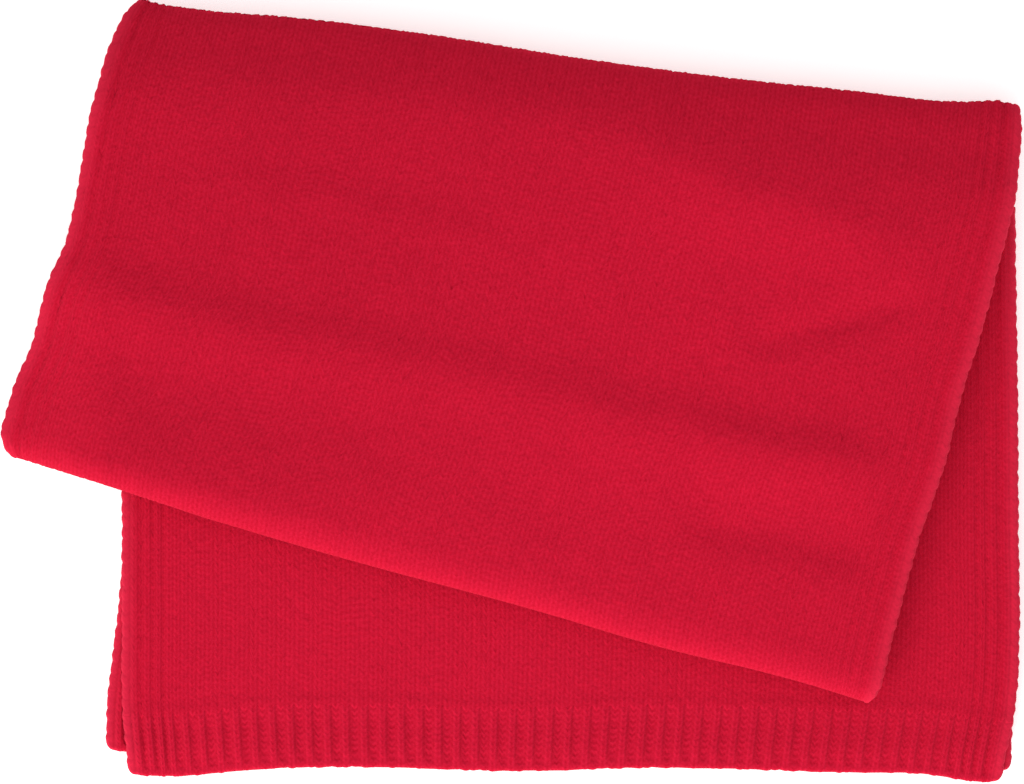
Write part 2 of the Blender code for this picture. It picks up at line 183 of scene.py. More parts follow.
UNDER_END = (
    # across, y of the cast-off edge
    (0.00, -120.4 * MM),
    (0.50, -123.8 * MM),
    (1.00, -127.2 * MM),
)
RIB_HEIGHT = 20.0 * MM
SAG_FROM_Y = -118.0 * MM
SAG_RUN = 14.0 * MM
SAG = 1.4 * MM
FLOOR_FOLD_Y = -117.5 * MM
FLOOR_RETURN = 16.0 * MM
SLOT_DEPTH = 34.0 * MM

floor_low, floor_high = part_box("floor_stretch")
floor_middle = (FLOOR_EDGES[0][1] + FLOOR_EDGES[0][2]) / 2
SHIFT = np.array([(floor_low.x + floor_high.x) / 2 - floor_middle, floor_low.y - FLOOR_FOLD_Y])
print("the model was centred by", np.round(SHIFT / MM, 2), "mm")

# %% [markdown]
# ## Reading a table as a smooth curve
#
# Cloth has no corners between the rows of a table. A cubic Hermite curve goes through every
# row and leaves each with the slope of its neighbours, and it runs on straight past both ends.

# %% Curves through tables
def curve(table, at, column):
    """A column of a table, read as a smooth curve where the first column is `at`."""
    rows = np.array(sorted(table))
    x, y = rows[:, 0], rows[:, column]
    slope = np.gradient(y, x)
    inside = np.clip(at, x[0], x[-1])
    i = np.clip(np.searchsorted(x, inside) - 1, 0, len(x) - 2)
    step = x[i + 1] - x[i]
    t = (inside - x[i]) / step
    smooth = (
        y[i] * (1 + 2 * t) * (1 - t) ** 2
        + slope[i] * step * t * (1 - t) ** 2
        + y[i + 1] * t**2 * (3 - 2 * t)
        + slope[i + 1] * step * t**2 * (t - 1)
    )
    return smooth + np.where(at < x[0], slope[0], slope[-1]) * (at - inside)


def smoothstep(share):
    share = np.clip(share, 0, 1)
    return share * share * (3 - 2 * share)


def unit(vector):
    vector = np.array(vector, float)
    return vector / np.linalg.norm(vector)


print("the front leaf is", round((curve(LEAF_EDGES, 0, 2) - curve(LEAF_EDGES, 0, 1)) / MM, 1), "mm wide")

# %% [markdown]
# ## The flap's face
#
# Courses are straight lines from edge to edge, and the same course lies at the same distance
# along both edges. So the table's stations are turned into distances from the crest of the
# bottom roll, and a place on the face is read by its distance along and its share across.

# %% The flap's face by distance
def edge_by_distance(x_column, y_column):
    """An edge of the flap as rows of (distance from the bottom crest, x, y)."""
    rows = sorted(FLAP_EDGES, reverse=True)
    points = np.array([(row[x_column], row[y_column]) for row in rows])
    steps = np.linalg.norm(np.diff(points, axis=0), axis=1)
    return [(d, *p) for d, p in zip(np.concatenate([[0], np.cumsum(steps)]), points)]


LEFT_EDGE = edge_by_distance(1, 2)
RIGHT_EDGE = edge_by_distance(3, 4)


def face_point(share, along):
    """A point of the flap's face in plan, or several where `along` is an array."""
    left = np.stack([curve(LEFT_EDGE, along, 1), curve(LEFT_EDGE, along, 2)], axis=-1)
    right = np.stack([curve(RIGHT_EDGE, along, 1), curve(RIGHT_EDGE, along, 2)], axis=-1)
    return left * (1 - share) + right * share


def crest_distance(share):
    """How far along the face the top roll begins."""
    return LEFT_EDGE[-1][0] * (1 - share) + RIGHT_EDGE[-1][0] * share


print("the face is", round(crest_distance(0) / MM), "to", round(crest_distance(1) / MM), "mm long")

# %% [markdown]
# ## Going round a roll
#
# A soft fold isn't a half circle: it is flatter on the side that leans on the cloth below. Two
# quarter ellipses that meet on the outermost line give it that section. A layer that lies
# `depth` inside the outer surface takes the same road with both half axes that much shorter.

# %% Sections of a roll
ROLL_DEGREES = np.arange(0, 91, 2.5)


def roll_line(ends, wave, share, outward):
    """The roll's outermost line in plan, at a share of the width."""
    start, end = np.array(ends)
    run = unit(end - start)
    square = np.array([-run[1], run[0]]) * outward
    return start * (1 - share) + end * share + square * curve(wave, share, 1), run


def corner_shift(share, run, corners, reach):
    """How far the roll's corner is drawn in at that share."""
    from_left = np.clip(1 - share / reach, 0, 1) * corners[0]
    from_right = np.clip(1 - (1 - share) / reach, 0, 1) * corners[1]
    return run * (from_left - from_right)


def quarter(flat, line, flat_height, line_height, corner):
    """From the flat of the cloth, at 0 degrees, to the roll's outermost line, at 90."""
    turn = np.radians(ROLL_DEGREES)[:, None]
    plan = flat + (line - flat) * np.sin(turn) + corner * (1 - np.cos(turn))
    height = line_height + (flat_height - line_height) * np.cos(turn)
    return np.hstack([plan, height])


def inside_line(line, flat, depth):
    return line + (flat - line) * depth / np.linalg.norm(flat - line)


def roll_middle(depth):
    """Height of a layer's outermost line: the inner layers lie a little higher."""
    innermost = 3 * STEP + WALL
    return ROLL_MIDDLE + (innermost + GAP / 2 - ROLL_MIDDLE) * depth / innermost


print("the top roll is", round(FLAP_TOP / MM, 1), "mm high and its middle is at", ROLL_MIDDLE / MM, "mm")

# %% Stretches of the strip, as rows of x, y, height and slack
def with_slack(points, slack):
    """Adds how freely that stretch follows the flap's creases: 1 is fully, 0 not at all."""
    return np.column_stack([points, np.broadcast_to(slack, len(points))])


def face_stretch(share, height, start, end, slack):
    """Along the flap, from one distance to another, at one height."""
    plan = face_point(share, np.linspace(start, end, 60))
    return with_slack(np.column_stack([plan, np.full(len(plan), height)]), slack)


def edge_x(edges, share, y):
    return curve(edges, y, 1) * (1 - share) + curve(edges, y, 2) * share


def flat_stretch(share, height, edges, start_y, end_y):
    """Along a leaf or the floor, from one y to another, at one height."""
    y = np.linspace(start_y, end_y, 80)
    return with_slack(np.column_stack([edge_x(edges, share, y), y, np.full(len(y), height)]), 0)


def seam_y(share):
    """Where the top roll lies down on the stretch below."""
    return FLOOR_SEAM[0] * (1 - share) + FLOOR_SEAM[1] * share


def top_roll(share, depth, edges, slack):
    """From the flap's crest round to the stretch below."""
    line, run = roll_line(TOP_ROLL, TOP_WAVE, share, 1)
    corner = corner_shift(share, run, TOP_CORNERS, TOP_CORNER_SHARE)
    crest = face_point(share, crest_distance(share))
    line = inside_line(line, crest, depth)
    seam = np.array([edge_x(edges, share, seam_y(share)), seam_y(share)])
    upper = quarter(crest, line, FLAP_TOP - depth, roll_middle(depth), corner)
    lower = quarter(seam, line, depth, roll_middle(depth), corner)
    upper = with_slack(upper, slack * np.sqrt(np.cos(np.radians(ROLL_DEGREES))))
    return np.vstack([upper, with_slack(lower[-2::-1], 0)])


def bottom_roll(share, depth, slack_below, slack_above):
    """From the stretch under the flap's face round to the face."""
    line, run = roll_line(BOTTOM_ROLL, BOTTOM_WAVE, share, -1)
    corner = corner_shift(share, run, BOTTOM_CORNERS, BOTTOM_CORNER_SHARE)
    crest = face_point(share, 0)
    line = inside_line(line, crest, depth)
    middle = (FLAP_TOP + FLAP_FLOOR) / 2
    upper = quarter(crest, line, FLAP_TOP - depth, middle, corner)
    lower = quarter(crest, line, FLAP_FLOOR + depth, middle, corner)
    both = np.vstack([lower, upper[-2::-1]])
    return with_slack(both, np.linspace(slack_below, slack_above, len(both)))


print("a roll is read at", len(ROLL_DEGREES), "angles a quarter")

# %% [markdown]
# ## Creases and the overhang
#
# The flap hangs over the bundle's left edge and sinks to the floor there. Its soft creases are
# listed one by one: each is a line of a few points, with its own height, a width for either side
# and a fade at its ends. A much weaker unevenness of the whole cloth comes from a few long waves, because felted
# wool never lies quite flat.

# %% Creases
OVERHANG_X = -134.0 * MM
OVERHANG_RUN = 37.0 * MM
OVERHANG_DROP = 10.6 * MM
FLAP_CREASES = (
    # height, half width above and below, fade at its left and right end, points, all in mm
    (1.7, 10.5, 14.0, 1, 30, ((-180, 43), (-97, 22), (-31, 8), (36, -8.5), (96, -22), (134, -26))),
    (0.6, 7.0, 10.0, 30, 20, ((50, -12), (96, -22), (134, -26))),
    (-2.3, 60.0, 16.0, 1, 1, ((-160, 127), (-87, 121), (-37, 115), (29, 106), (96, 93), (190, 80))),
    (-2.0, 60.0, 17.0, 1, 50, ((-160, 124), (-87, 117), (-20, 111))),
    (-1.6, 60.0, 19.0, 50, 1, ((52, 98), (96, 89), (190, 77))),
    (1.2, 9.0, 18.0, 30, 24, ((26, 84), (82, 64), (150, 42))),
    (1.0, 20.0, 8.0, 1, 60, ((-180, -13), (-87, -36), (-20, -54))),
    (-1.3, 12.0, 8.0, 16, 14, ((50, -42), (90, -47), (124, -56))),
    (-1.0, 6.0, 5.0, 16, 16, ((72, 14), (108, 23), (142, 33))),
    (-0.5, 11.0, 11.0, 30, 40, ((-70, -12), (-37, -23), (50, -50))),
    (0.5, 7.0, 7.0, 25, 25, ((-100, 70), (-50, 62), (0, 47))),
)
UNEVEN_WAVES = (
    # waves per metre along x and y, phase, height
    (11.0, 17.0, 0.4, 0.10 * MM),
    (-19.0, 8.0, 1.9, 0.08 * MM),
    (31.0, 24.0, 3.1, 0.05 * MM),
    (-27.0, 41.0, 5.0, 0.045 * MM),
    (52.0, -33.0, 2.2, 0.03 * MM),
)


def creases(x, y, table):
    """Height that the creases add at each point."""
    total = np.zeros_like(x)
    for height, above, below, fade_left, fade_right, points in table:
        points = np.array(points)
        steps = np.diff(points, axis=0)
        lengths = np.linalg.norm(steps, axis=1)
        off, on = np.full_like(x, 1e3), np.zeros_like(x)
        for n, (run, length) in enumerate(zip(steps / lengths[:, None], lengths)):
            from_x, from_y = x / MM - points[n, 0], y / MM - points[n, 1]
            along = np.clip(from_x * run[0] + from_y * run[1], 0, length)
            distance = np.hypot(from_x - along * run[0], from_y - along * run[1])
            distance *= np.sign(from_y * run[0] - from_x * run[1])
            nearer = abs(distance) < abs(off)
            off, on = np.where(nearer, distance, off), np.where(nearer, along + lengths[:n].sum(), on)
        ends = smoothstep(on / fade_left) * smoothstep((lengths.sum() - on) / fade_right)
        total += height * MM * ends * np.exp(-((off / np.where(off > 0, above, below)) ** 2))
    return total


def unevenness(x, y):
    total = np.zeros_like(x)
    for along_x, along_y, phase, height in UNEVEN_WAVES:
        total += height * np.sin(2 * np.pi * (along_x * x + along_y * y) + phase)
    return total


def overhang(x):
    return OVERHANG_DROP * smoothstep((OVERHANG_X - x) / OVERHANG_RUN)


def end_sag(y):
    return SAG * smoothstep((SAG_FROM_Y - y) / SAG_RUN)


print(len(FLAP_CREASES), "creases on the flap")

# %% [markdown]
# ## Stitches
#
# On the knit side each stitch is a V, and the Vs of a wale nest in each other. So a wale is two
# ridges of slanted legs with a shallow valley between them and a deeper one beside them. The
# cheapest mesh that holds this has four columns for a wale, on its valleys and ridges, and two
# rows for a course, on the legs and between them. The rows follow the slant of the legs, as
# the yarn does. A purl wale shows the back of its stitches, low bars that lie across.

# %% Columns of the stitch mesh
LEG_RISE = 0.8  # courses that a leg climbs from the middle of its wale to the side
KNIT = (
    # place in the wale, height, how much lower between two legs
    (0.00, -0.25 * MM, 0.03 * MM),
    (0.25, -0.04 * MM, 0.03 * MM),
    (0.50, -0.18 * MM, 0.03 * MM),
    (0.75, -0.04 * MM, 0.03 * MM),
)
PURL = (
    (0.00, -0.36 * MM, 0.00 * MM),
    (0.50, -0.56 * MM, -0.10 * MM),
)
CHAIN = (
    (0.26, -0.16 * MM, 0.04 * MM),
    (0.45, 0.04 * MM, 0.07 * MM),
    (0.68, 0.06 * MM, 0.07 * MM),
    (0.86, -0.22 * MM, 0.05 * MM),
)
STITCHES = {"knit": KNIT, "purl": PURL, "chain": CHAIN}


def body_widths():
    """The body's wales, drawn in a little beside the borders."""
    n = np.arange(BODY_WALES)
    from_side = np.minimum(n, BODY_WALES - 1 - n)
    widths = 1 - DRAWN_IN * np.exp(-from_side / DRAWN_WALES)
    return widths * (WIDTH - 2 * BORDER_WIDTH) / widths.sum()


def strip_wales():
    """Every wale from the left edge to the right one, as (kind, left side, width)."""
    kinds = [*BORDER, *[("knit", width) for width in body_widths()], *BORDER[::-1]]
    wales, start = [], 0.0
    for kind, width in kinds:
        wales.append((kind, start, width))
        start += width
    return wales


def stitch_columns():
    """The mesh's columns: across, height, dip, wale coordinate, purl and chain, as arrays."""
    columns = []
    wales = strip_wales()
    for number, (kind, start, width) in enumerate(wales):
        mirrored = start > WIDTH / 2
        for place, height, dip in STITCHES[kind]:
            if kind == "chain" and mirrored:
                place = 1 - place
            kinds = (float(kind == "purl" and place > 0), float(kind == "chain"))
            columns.append((start + place * width, height, dip, number + place, *kinds))
        if kind == "chain" and mirrored:
            columns.append((start, KNIT[0][1], 0.0, float(number), 0.0, 0.0))
    return np.array(sorted(columns)).T


ACROSS, HEIGHT, DIP, WALE_AT, IS_PURL, IS_CHAIN = stitch_columns()
print(len(ACROSS), "columns across", len(strip_wales()), "wales")

# %% [markdown]
# ## A sheet with two sides
#
# A finely meshed sheet with Solidify would have its hidden side just as fine, at twice the
# cost. So the cross-section is a closed ring: the fine columns of the outer side, a rounded
# edge, a few plain columns for the inner side and the other rounded edge. `create_grid` makes
# rows and columns, every vertex is moved to its place, and the two sides of the grid that meet
# are welded. `bridge_loops` closes the ends between the two sides, and `holes_fill` the rest.

# %% Rings
EDGE_ROUND = (
    # in from the edge, height over the middle of the wall
    (0.42 * MM, 0.42 * MM),
    (0.08 * MM, -0.10 * MM),
    (0.00 * MM, -0.60 * MM),
    (0.45 * MM, -1.05 * MM),
)
INNER_SIDE = (0.013, 0.06, 0.15, 0.28, 0.42, 0.58, 0.72, 0.85, 0.94, 0.987)  # shares of the width


def whole_front():
    """The outer side's columns with all their stitches."""
    return np.array([ACROSS, WALL / 2 + HEIGHT, DIP, WALE_AT, IS_PURL, IS_CHAIN])


def border_front(plain_columns=14):
    """Only the borders have stitches, and the middle is plain: for layers of which only the
    edges show."""
    near = BORDER_WIDTH + BODY_WALE
    kept = (ACROSS < near) | (ACROSS > WIDTH - near)
    middle = np.linspace(near + BODY_WALE, WIDTH - near - BODY_WALE, plain_columns)
    wales = len(BORDER) + (middle - BORDER_WIDTH) / BODY_WALE
    zero = np.zeros_like(middle)
    plain = np.array([middle, zero + WALL / 2 - 0.2 * MM, zero, wales, zero, zero])
    both = np.hstack([whole_front()[:, kept], plain])
    return both[:, np.argsort(both[0])]


def ring_of(front, inner=INNER_SIDE):
    """The closed cross-section: the front, the right edge, the back and the left edge."""
    total_wales = len(strip_wales())
    right = [(WIDTH - i, h, 0.1 * MM, total_wales - i / BODY_WALE, 0, 1) for i, h in EDGE_ROUND]
    left = [(i, h, 0.1 * MM, i / BODY_WALE, 0, 1) for i, h in EDGE_ROUND[::-1]]
    back = [(s * WIDTH, -WALL / 2, 0, s * total_wales, 1, 0) for s in inner[::-1]]
    ring = np.hstack([front, np.array(right + back + left).T])
    return np.hstack([ring, ring[:, :1]])


print("a ring has", ring_of(whole_front()).shape[1], "points, and a plain one", ring_of(border_front()).shape[1])

# %% [markdown]
# ## From a line to a surface
#
# Each point of the ring follows its own line along the strip. The lines give the middle of the
# wall; the outer and inner side stand off it along the surface's own normal, which comes from
# a coarse net of the same lines. `settle` then lets the cloth sink or rise where it lies.

# %% The wall's middle and its normals
NET_SHARES = np.linspace(0, 1, 41)


def measured(stretches, zero_at=0):
    """Joins stretches into one line, with the distance along it in the first column. Zero is
    where the stretch of that number begins."""
    line = np.vstack(stretches)
    steps = np.linalg.norm(np.diff(line[:, :3], axis=0), axis=1)
    along = np.concatenate([[0], np.cumsum(np.maximum(steps, 1e-9))])
    along -= along[sum(len(stretch) for stretch in stretches[:zero_at])]
    return np.column_stack([along, line])


def read_line(line, along, settle):
    """Points at distances along a measured line, after they have settled."""
    x, y, z, slack = (np.interp(along, line[:, 0], line[:, c]) for c in range(1, 5))
    return np.column_stack([x, y, settle(x, y, z, slack)])


def directions(line_at, rows_at, settle):
    """The net's normals and its directions across the strip, as rows, net columns and 3."""
    net = np.stack([read_line(line_at(s), rows_at(s), settle) for s in NET_SHARES], axis=1)
    across = np.gradient(net, axis=1)
    normals = np.cross(across, np.gradient(net, axis=0))
    lengths = np.linalg.norm(normals, axis=-1, keepdims=True)
    return normals / lengths, across / np.linalg.norm(across, axis=-1, keepdims=True)


def at_share(net, share):
    """The net's rows between two of its columns."""
    position = np.clip(share, 0, 1) * (len(NET_SHARES) - 1)
    first = min(int(position), len(NET_SHARES) - 2)
    return net[:, first] + (net[:, first + 1] - net[:, first]) * (position - first)


print("normals are read on", len(NET_SHARES), "lines")

# %% Stitches on one column of the ring
LOOP = 2  # courses for each loop of the edge chain
LOOP_SWELL = 0.17 * MM
EDGE_SWELL = (
    # how far the edge stands out, over how many courses, phase
    (0.08 * MM, 3.37, 1.3),
    (0.09 * MM, 8.9, 0.4),
    (0.05 * MM, 1.31, 2.2),
)
CHANCE_HEIGHT = 0.075 * MM
CHANCE_SLIDE = 0.10 * MM
CHANCE_SIDEWAYS = 0.06 * MM
LEGS = np.random.default_rng(23)
LEG_SHIFT = np.clip(LEGS.normal(0, 0.30, 2 * len(strip_wales()) + 1), -0.55, 0.55)  # in courses
LEG_DRIFT = LEGS.uniform(0, 2 * np.pi, (2, len(LEG_SHIFT)))


def leg_shift(wale, courses):
    """In felted cloth the wales have slipped along each other: how far, in courses, at a
    wale's middle and sides, and how that changes along the wale."""
    half = np.arange(len(LEG_SHIFT))
    long_wave, short_wave = (
        np.cos(courses * 2 * np.pi / run + np.interp(wale * 2, half, phases))
        for run, phases in zip((31.0, 12.7), LEG_DRIFT)
    )
    return np.interp(wale * 2, half, LEG_SHIFT) + 0.16 * long_wave + 0.12 * short_wave


def stitched(column, courses, amount, seed, chances, slip):
    """Height over the wall's middle, slide along, swell across and leg shift, for a column at
    each row. Legs stand up once a course and edge loops once in two, with a little left to chance."""
    across, height, dip, wale, _, chain = column
    chance = np.random.default_rng([seed, int(across / MM * 100), int(height / MM * 100 + 1000)])
    beat = np.cos(2 * np.pi * courses / (LOOP if chain else 1))
    loose = chances * (0.35 if chain else 1.0)  # the edge chain is tight and even
    rise = loose * chance.normal(0, CHANCE_HEIGHT, len(courses)) - dip * (0.5 - 0.5 * beat)
    slide = loose * chance.normal(0, CHANCE_SLIDE, len(courses)).clip(-0.2 * MM, 0.2 * MM)
    shift = slide * 0
    if height < 0 and not chain:
        slide = slide * 0
    elif not chain:
        shift = slip * leg_shift(wale, courses) * COURSE
        slide = slide + shift + LEG_RISE * 2 * abs(wale % 1 - 0.5) * COURSE
    if height > 0 and not chain:
        flat = WALL / 2 - 0.2 * MM
        height = flat + (height - flat) * amount
    if chain:
        near = 1 - smoothstep((min(across, WIDTH - across) - 0.9 * MM) / (1.6 * MM))
        waves = [size * np.cos(2 * np.pi * courses / run + phase) for size, run, phase in EDGE_SWELL]
        loops = LOOP_SWELL * (2 * abs(np.cos(np.pi * courses / LOOP)) - 1)
        swell = (sum(waves) + loops) * near * np.sign(across - WIDTH / 2)
    else:
        swell = chance.normal(0, CHANCE_SIDEWAYS, len(courses)) * amount * (height > 0)
    return height + rise * amount, slide * amount, swell, shift * amount


print("the edge chain has a loop every", LOOP * COURSE / MM, "mm")

# %% A sheet from a grid
def sheet_mesh(name, place, knit, purl, side):
    """A closed sheet: a grid whose vertices go to `place`, an array of rows, columns and 3.
    `side` says whether a column is on the outer side, 1, the inner one, -1, or an edge, 0."""
    rows, size = place.shape[:2]
    bm = bmesh.new()
    bm.loops.layers.uv.new("Knit")
    bmesh.ops.create_grid(bm, x_segments=size - 1, y_segments=rows - 1, size=1)
    mesh = bpy.data.meshes.new(name)
    bm.to_mesh(mesh)
    bm.free()

    flat = np.empty(len(mesh.vertices) * 3, np.float32)
    mesh.vertices.foreach_get("co", flat)
    flat = flat.reshape(-1, 3)
    k = np.round((flat[:, 0] + 1) / 2 * (size - 1)).astype(int)
    n = np.round((flat[:, 1] + 1) / 2 * (rows - 1)).astype(int)
    centred = place[n, k] + np.array([*SHIFT, 0])
    mesh.vertices.foreach_set("co", centred.astype(np.float32).ravel())

    corner = np.empty(len(mesh.loops), np.int32)
    mesh.loops.foreach_get("vertex_index", corner)
    mesh.uv_layers["Knit"].data.foreach_set("uv", knit[n, k][corner].astype(np.float32).ravel())
    mesh.attributes.new("purl", "FLOAT", "POINT").data.foreach_set("value", purl[n, k].astype(np.float32))
    mesh.attributes.new("row", "INT", "POINT").data.foreach_set("value", n.astype(np.int32))
    mesh.attributes.new("side", "INT", "POINT").data.foreach_set("value", side[k].astype(np.int32))

    bm = bmesh.new()
    bm.from_mesh(mesh)
    bm.verts.ensure_lookup_table()
    row, of_side = bm.verts.layers.int["row"], bm.verts.layers.int["side"]
    seam = [bm.verts[i] for i in np.flatnonzero((k == 0) | (k == size - 1))]
    bmesh.ops.remove_doubles(bm, verts=seam, dist=0.0001 * MM)
    for last in (0, rows - 1):
        end = [e for e in bm.edges if e.is_boundary and all(v[row] == last for v in e.verts)]
        both_sides = [e for e in end if all(v[of_side] > 0 for v in e.verts) or all(v[of_side] < 0 for v in e.verts)]
        bmesh.ops.bridge_loops(bm, edges=both_sides)
    left_open = [e for e in bm.edges if e.is_boundary]
    bmesh.ops.holes_fill(bm, edges=left_open, sides=0)
    for layer in (row, of_side):
        bm.verts.layers.int.remove(layer)
    bmesh.ops.recalc_face_normals(bm, faces=bm.faces)
    bm.to_mesh(mesh)
    bm.free()
    mesh.shade_smooth()
    made = bpy.data.objects.new(name, mesh)
    bpy.context.collection.objects.link(made)
    return made


def cloth(
    name, front, line_at, rows_at, amount, settle, seed,
    thin=1.0, bead=None, inner=INNER_SIDE, chances=1.0, slip=lambda base: 1.0,
):  # fmt: skip
    """A stretch of the strip. `line_at` and `rows_at` give, for a share of the width, the
    strip's line and the rows along it, and `amount` how strong the stitches are at each row.
    `thin` draws the wall together, and `bead` adds height to the outer side. `chances` is the
    share of what is left to chance, and `slip` that of the wales' slip at a distance along."""
    ring = ring_of(front, inner)
    normals, sideways = directions(line_at, rows_at, settle)
    rows, size = len(amount), ring.shape[1]
    place, knit, purl = np.empty((rows, size, 3)), np.empty((rows, size, 2)), np.empty((rows, size))
    thin = thin * np.ones(rows)
    for k in range(size):
        share = ring[0, k] / WIDTH
        base = rows_at(share)
        height, slide, swell, shift = stitched(ring[:, k], base / COURSE, amount, seed, chances, slip(base))
        if bead is not None and ring[1, k] > 0:
            height = height + bead(ring[3, k], base)
        points = read_line(line_at(share), base + slide, settle)
        points += at_share(normals, share) * (height * thin)[:, None]
        place[:, k] = points + at_share(sideways, share) * (swell * thin)[:, None]
        knit[:, k] = np.column_stack([np.full(rows, ring[3, k]), (base + slide - shift) / COURSE])
        purl[:, k] = ring[4, k]
    place[..., 2] = np.maximum(place[..., 2], 0)  # the floor flattens what lies on it
    side = np.zeros(size)
    side[: front.shape[1]] = 1
    side[front.shape[1] + len(EDGE_ROUND) : front.shape[1] + len(EDGE_ROUND) + len(inner)] = -1
    made = sheet_mesh(name, place, knit, purl, side)
    print(f"{name}: {rows} rows, {size} columns, {len(made.data.polygons)} faces")
    return made


print("sheets are welded from grids")

# %% [markdown]
# ## The flap
#
# One stretch of the strip rises from the floor, rolls over the top, is the flap's face, rolls
# under at the bundle's closed end and is tucked in beneath. Its stitches are modelled wherever
# they show. The tucked-in end and the last bit on the floor, which nothing shows, get a few
# rows without stitches.

# %% The flap's line
FLAP_SEAM_Y = 78.0 * MM  # where it meets the floor stretch
RETURN_STOPS = 22.0 * MM  # how far below the crest the tucked-in end meets the front leaf's
OUTER = WALL / 2  # depth of the outer layer's middle
SLACK = {7: 1.0, 6: 0.78, 5: 0.56, 4: 0.34}  # how much of the creases each layer follows


def flap_line(share):
    tucked = 0.5 + (share - 0.5) * (1 - 2.4 * MM / WIDTH)
    return_start = crest_distance(share) - RETURN_STOPS
    under = face_stretch(tucked, FLAP_FLOOR + OUTER, return_start, 2 * MM, SLACK[4])
    roll = bottom_roll(share, OUTER, SLACK[4], SLACK[7])
    face = face_stretch(share, FLAP_TOP - OUTER, 0, crest_distance(share), SLACK[7])
    over = top_roll(share, OUTER, FLOOR_EDGES, SLACK[7])
    floor = flat_stretch(share, OUTER, FLOOR_EDGES, seam_y(share), FLAP_SEAM_Y)
    return measured([under, roll, face[1:], over[1:], floor[1:]], zero_at=2)


def flap_settle(x, y, z, slack):
    return z + slack * (creases(x, y, FLAP_CREASES) + unevenness(x, y)) - overhang(x)


print("the flap's stretch is", [round(np.ptp(flap_line(s)[:, 0]) / MM) for s in (0, 0.5, 1)], "mm long")

# %% The flap's cloth
FLAP_STITCHED = (-8 * COURSE, 100 * COURSE)
FADE_ROWS = 4
NOSE_ROWS = 12


def fine_rows(line, stitched_from, stitched_to, before, after):
    """Two rows a course where there are stitches, and a few plain ones to both ends."""
    fine = np.arange(stitched_from, stitched_to, COURSE / 2)
    first = np.linspace(line[0, 0], fine[0], before + 1)[:-1]
    last = np.linspace(fine[-1], line[-1, 0], after + 1)[1:]
    return np.concatenate([first, fine, last])


def stitch_amount(stitched_from, stitched_to, before, after):
    """0 on the plain rows and 1 on the stitched ones, with a short fade."""
    count = len(np.arange(stitched_from, stitched_to, COURSE / 2))
    n = np.arange(count)
    middle = np.ones(count)
    if before:
        middle = np.minimum(middle, smoothstep(n / NOSE_ROWS))
    if after:
        middle = np.minimum(middle, smoothstep((count - 1 - n) / FADE_ROWS))
    return np.concatenate([np.zeros(before), middle, np.zeros(after)])


FLAP_PLAIN = (12, 6)  # plain rows before and after
flap_cloth = cloth(
    "flap_cloth",
    whole_front(),
    flap_line,
    lambda share: fine_rows(flap_line(share), *FLAP_STITCHED, *FLAP_PLAIN),
    stitch_amount(*FLAP_STITCHED, *FLAP_PLAIN),
    flap_settle,
    seed=7,
)

# %% Painted shade and light on the flap
SHADE_AND_LIGHT_PATCHES = (
    # x, y and half widths in mm, how much lighter: painted light above 0, painted shade below 0
    (-75, 56, 85, 42, -0.09),
    (-110, -16, 60, 28, -0.07),
    (-25, -14, 60, 14, -0.05),
    (84, 50, 46, 16, 0.05),
)


def paint_shade_and_light(piece, patches):
    """Paints shade and light on the cloth in soft patches: an attribute that darkens or lightens its colour there."""
    mesh = piece.data
    places = np.empty(len(mesh.vertices) * 3, np.float32)
    mesh.vertices.foreach_get("co", places)
    x, y = places.reshape(-1, 3)[:, :2].T / MM
    painted_shade_and_light = np.zeros(len(x), np.float32)
    for middle_x, middle_y, half_x, half_y, lighter in patches:
        painted_shade_and_light += lighter * np.exp(-(((x - middle_x) / half_x) ** 2) - ((y - middle_y) / half_y) ** 2)
    mesh.attributes.new("painted_shade_and_light", "FLOAT", "POINT").data.foreach_set("value", painted_shade_and_light)


paint_shade_and_light(flap_cloth, SHADE_AND_LIGHT_PATCHES)
# These soft patches are painted shade and painted light.
print(len(SHADE_AND_LIGHT_PATCHES), "soft patches of pressed nap")

# %% [markdown]
# ## The floor stretch
#
# The same side of the cloth goes on under the bundle, flat on the floor, to the strip's middle
# fold. There it turns up and back, and its end is tucked between the layers.

# %% The floor stretch's cloth
FOLD_Y = FLOOR_FOLD_Y + STEP / 2 + WALL / 2
FLOOR_PLAIN = (2, 6)


def floor_line(share):
    floor = flat_stretch(share, OUTER, FLOOR_EDGES, FLAP_SEAM_Y, FOLD_Y)
    turn = np.radians(np.arange(5, 181, 5))
    y = FOLD_Y - STEP / 2 * np.sin(turn)
    height = OUTER + STEP / 2 * (1 - np.cos(turn))
    fold = with_slack(np.column_stack([edge_x(FLOOR_EDGES, share, y), y, height]), 0)
    tucked = flat_stretch(share, OUTER + STEP, FLOOR_EDGES, FOLD_Y, FLOOR_FOLD_Y + FLOOR_RETURN)
    return measured([floor, fold, tucked[1:]])


def flat_settle(x, y, z, slack):
    return z


FLOOR_STITCHED = (2 * COURSE, 98 * COURSE)
floor_cloth = cloth(
    "floor_cloth",
    whole_front(),
    floor_line,
    lambda share: fine_rows(floor_line(share), *FLOOR_STITCHED, *FLOOR_PLAIN),
    stitch_amount(*FLOOR_STITCHED, *FLOOR_PLAIN),
    flat_settle,
    seed=11,
)

# %% [markdown]
# ## The front leaf and the under leaf
#
# The two ends of the strip lie on each other. The front leaf shows below the flap and to its
# right, so its stitches are modelled up to well under the flap. Of the under leaf only the
# edges show, so only its borders have stitches. Both end inside the top roll.

# %% Lines of the two leaves
LAP = 1.6 * MM  # how far leaf and rib reach into each other
LAP_THIN = np.array([0.4, 0.75])
SLIP_FADE = 5 * COURSE  # at the joint the wales of leaf and rib haven't slipped
FRONT_MIDDLE = 3 * STEP + OUTER  # height of the wall's middle
UNDER_MIDDLE = 2 * STEP + OUTER


def rib_top(end_table, share):
    return curve(end_table, share, 1) + RIB_HEIGHT


def slot_y(share):
    """Where the leaves end and the layers inside the top roll begin."""
    return roll_line(TOP_ROLL, TOP_WAVE, share, 1)[0][1] - SLOT_DEPTH


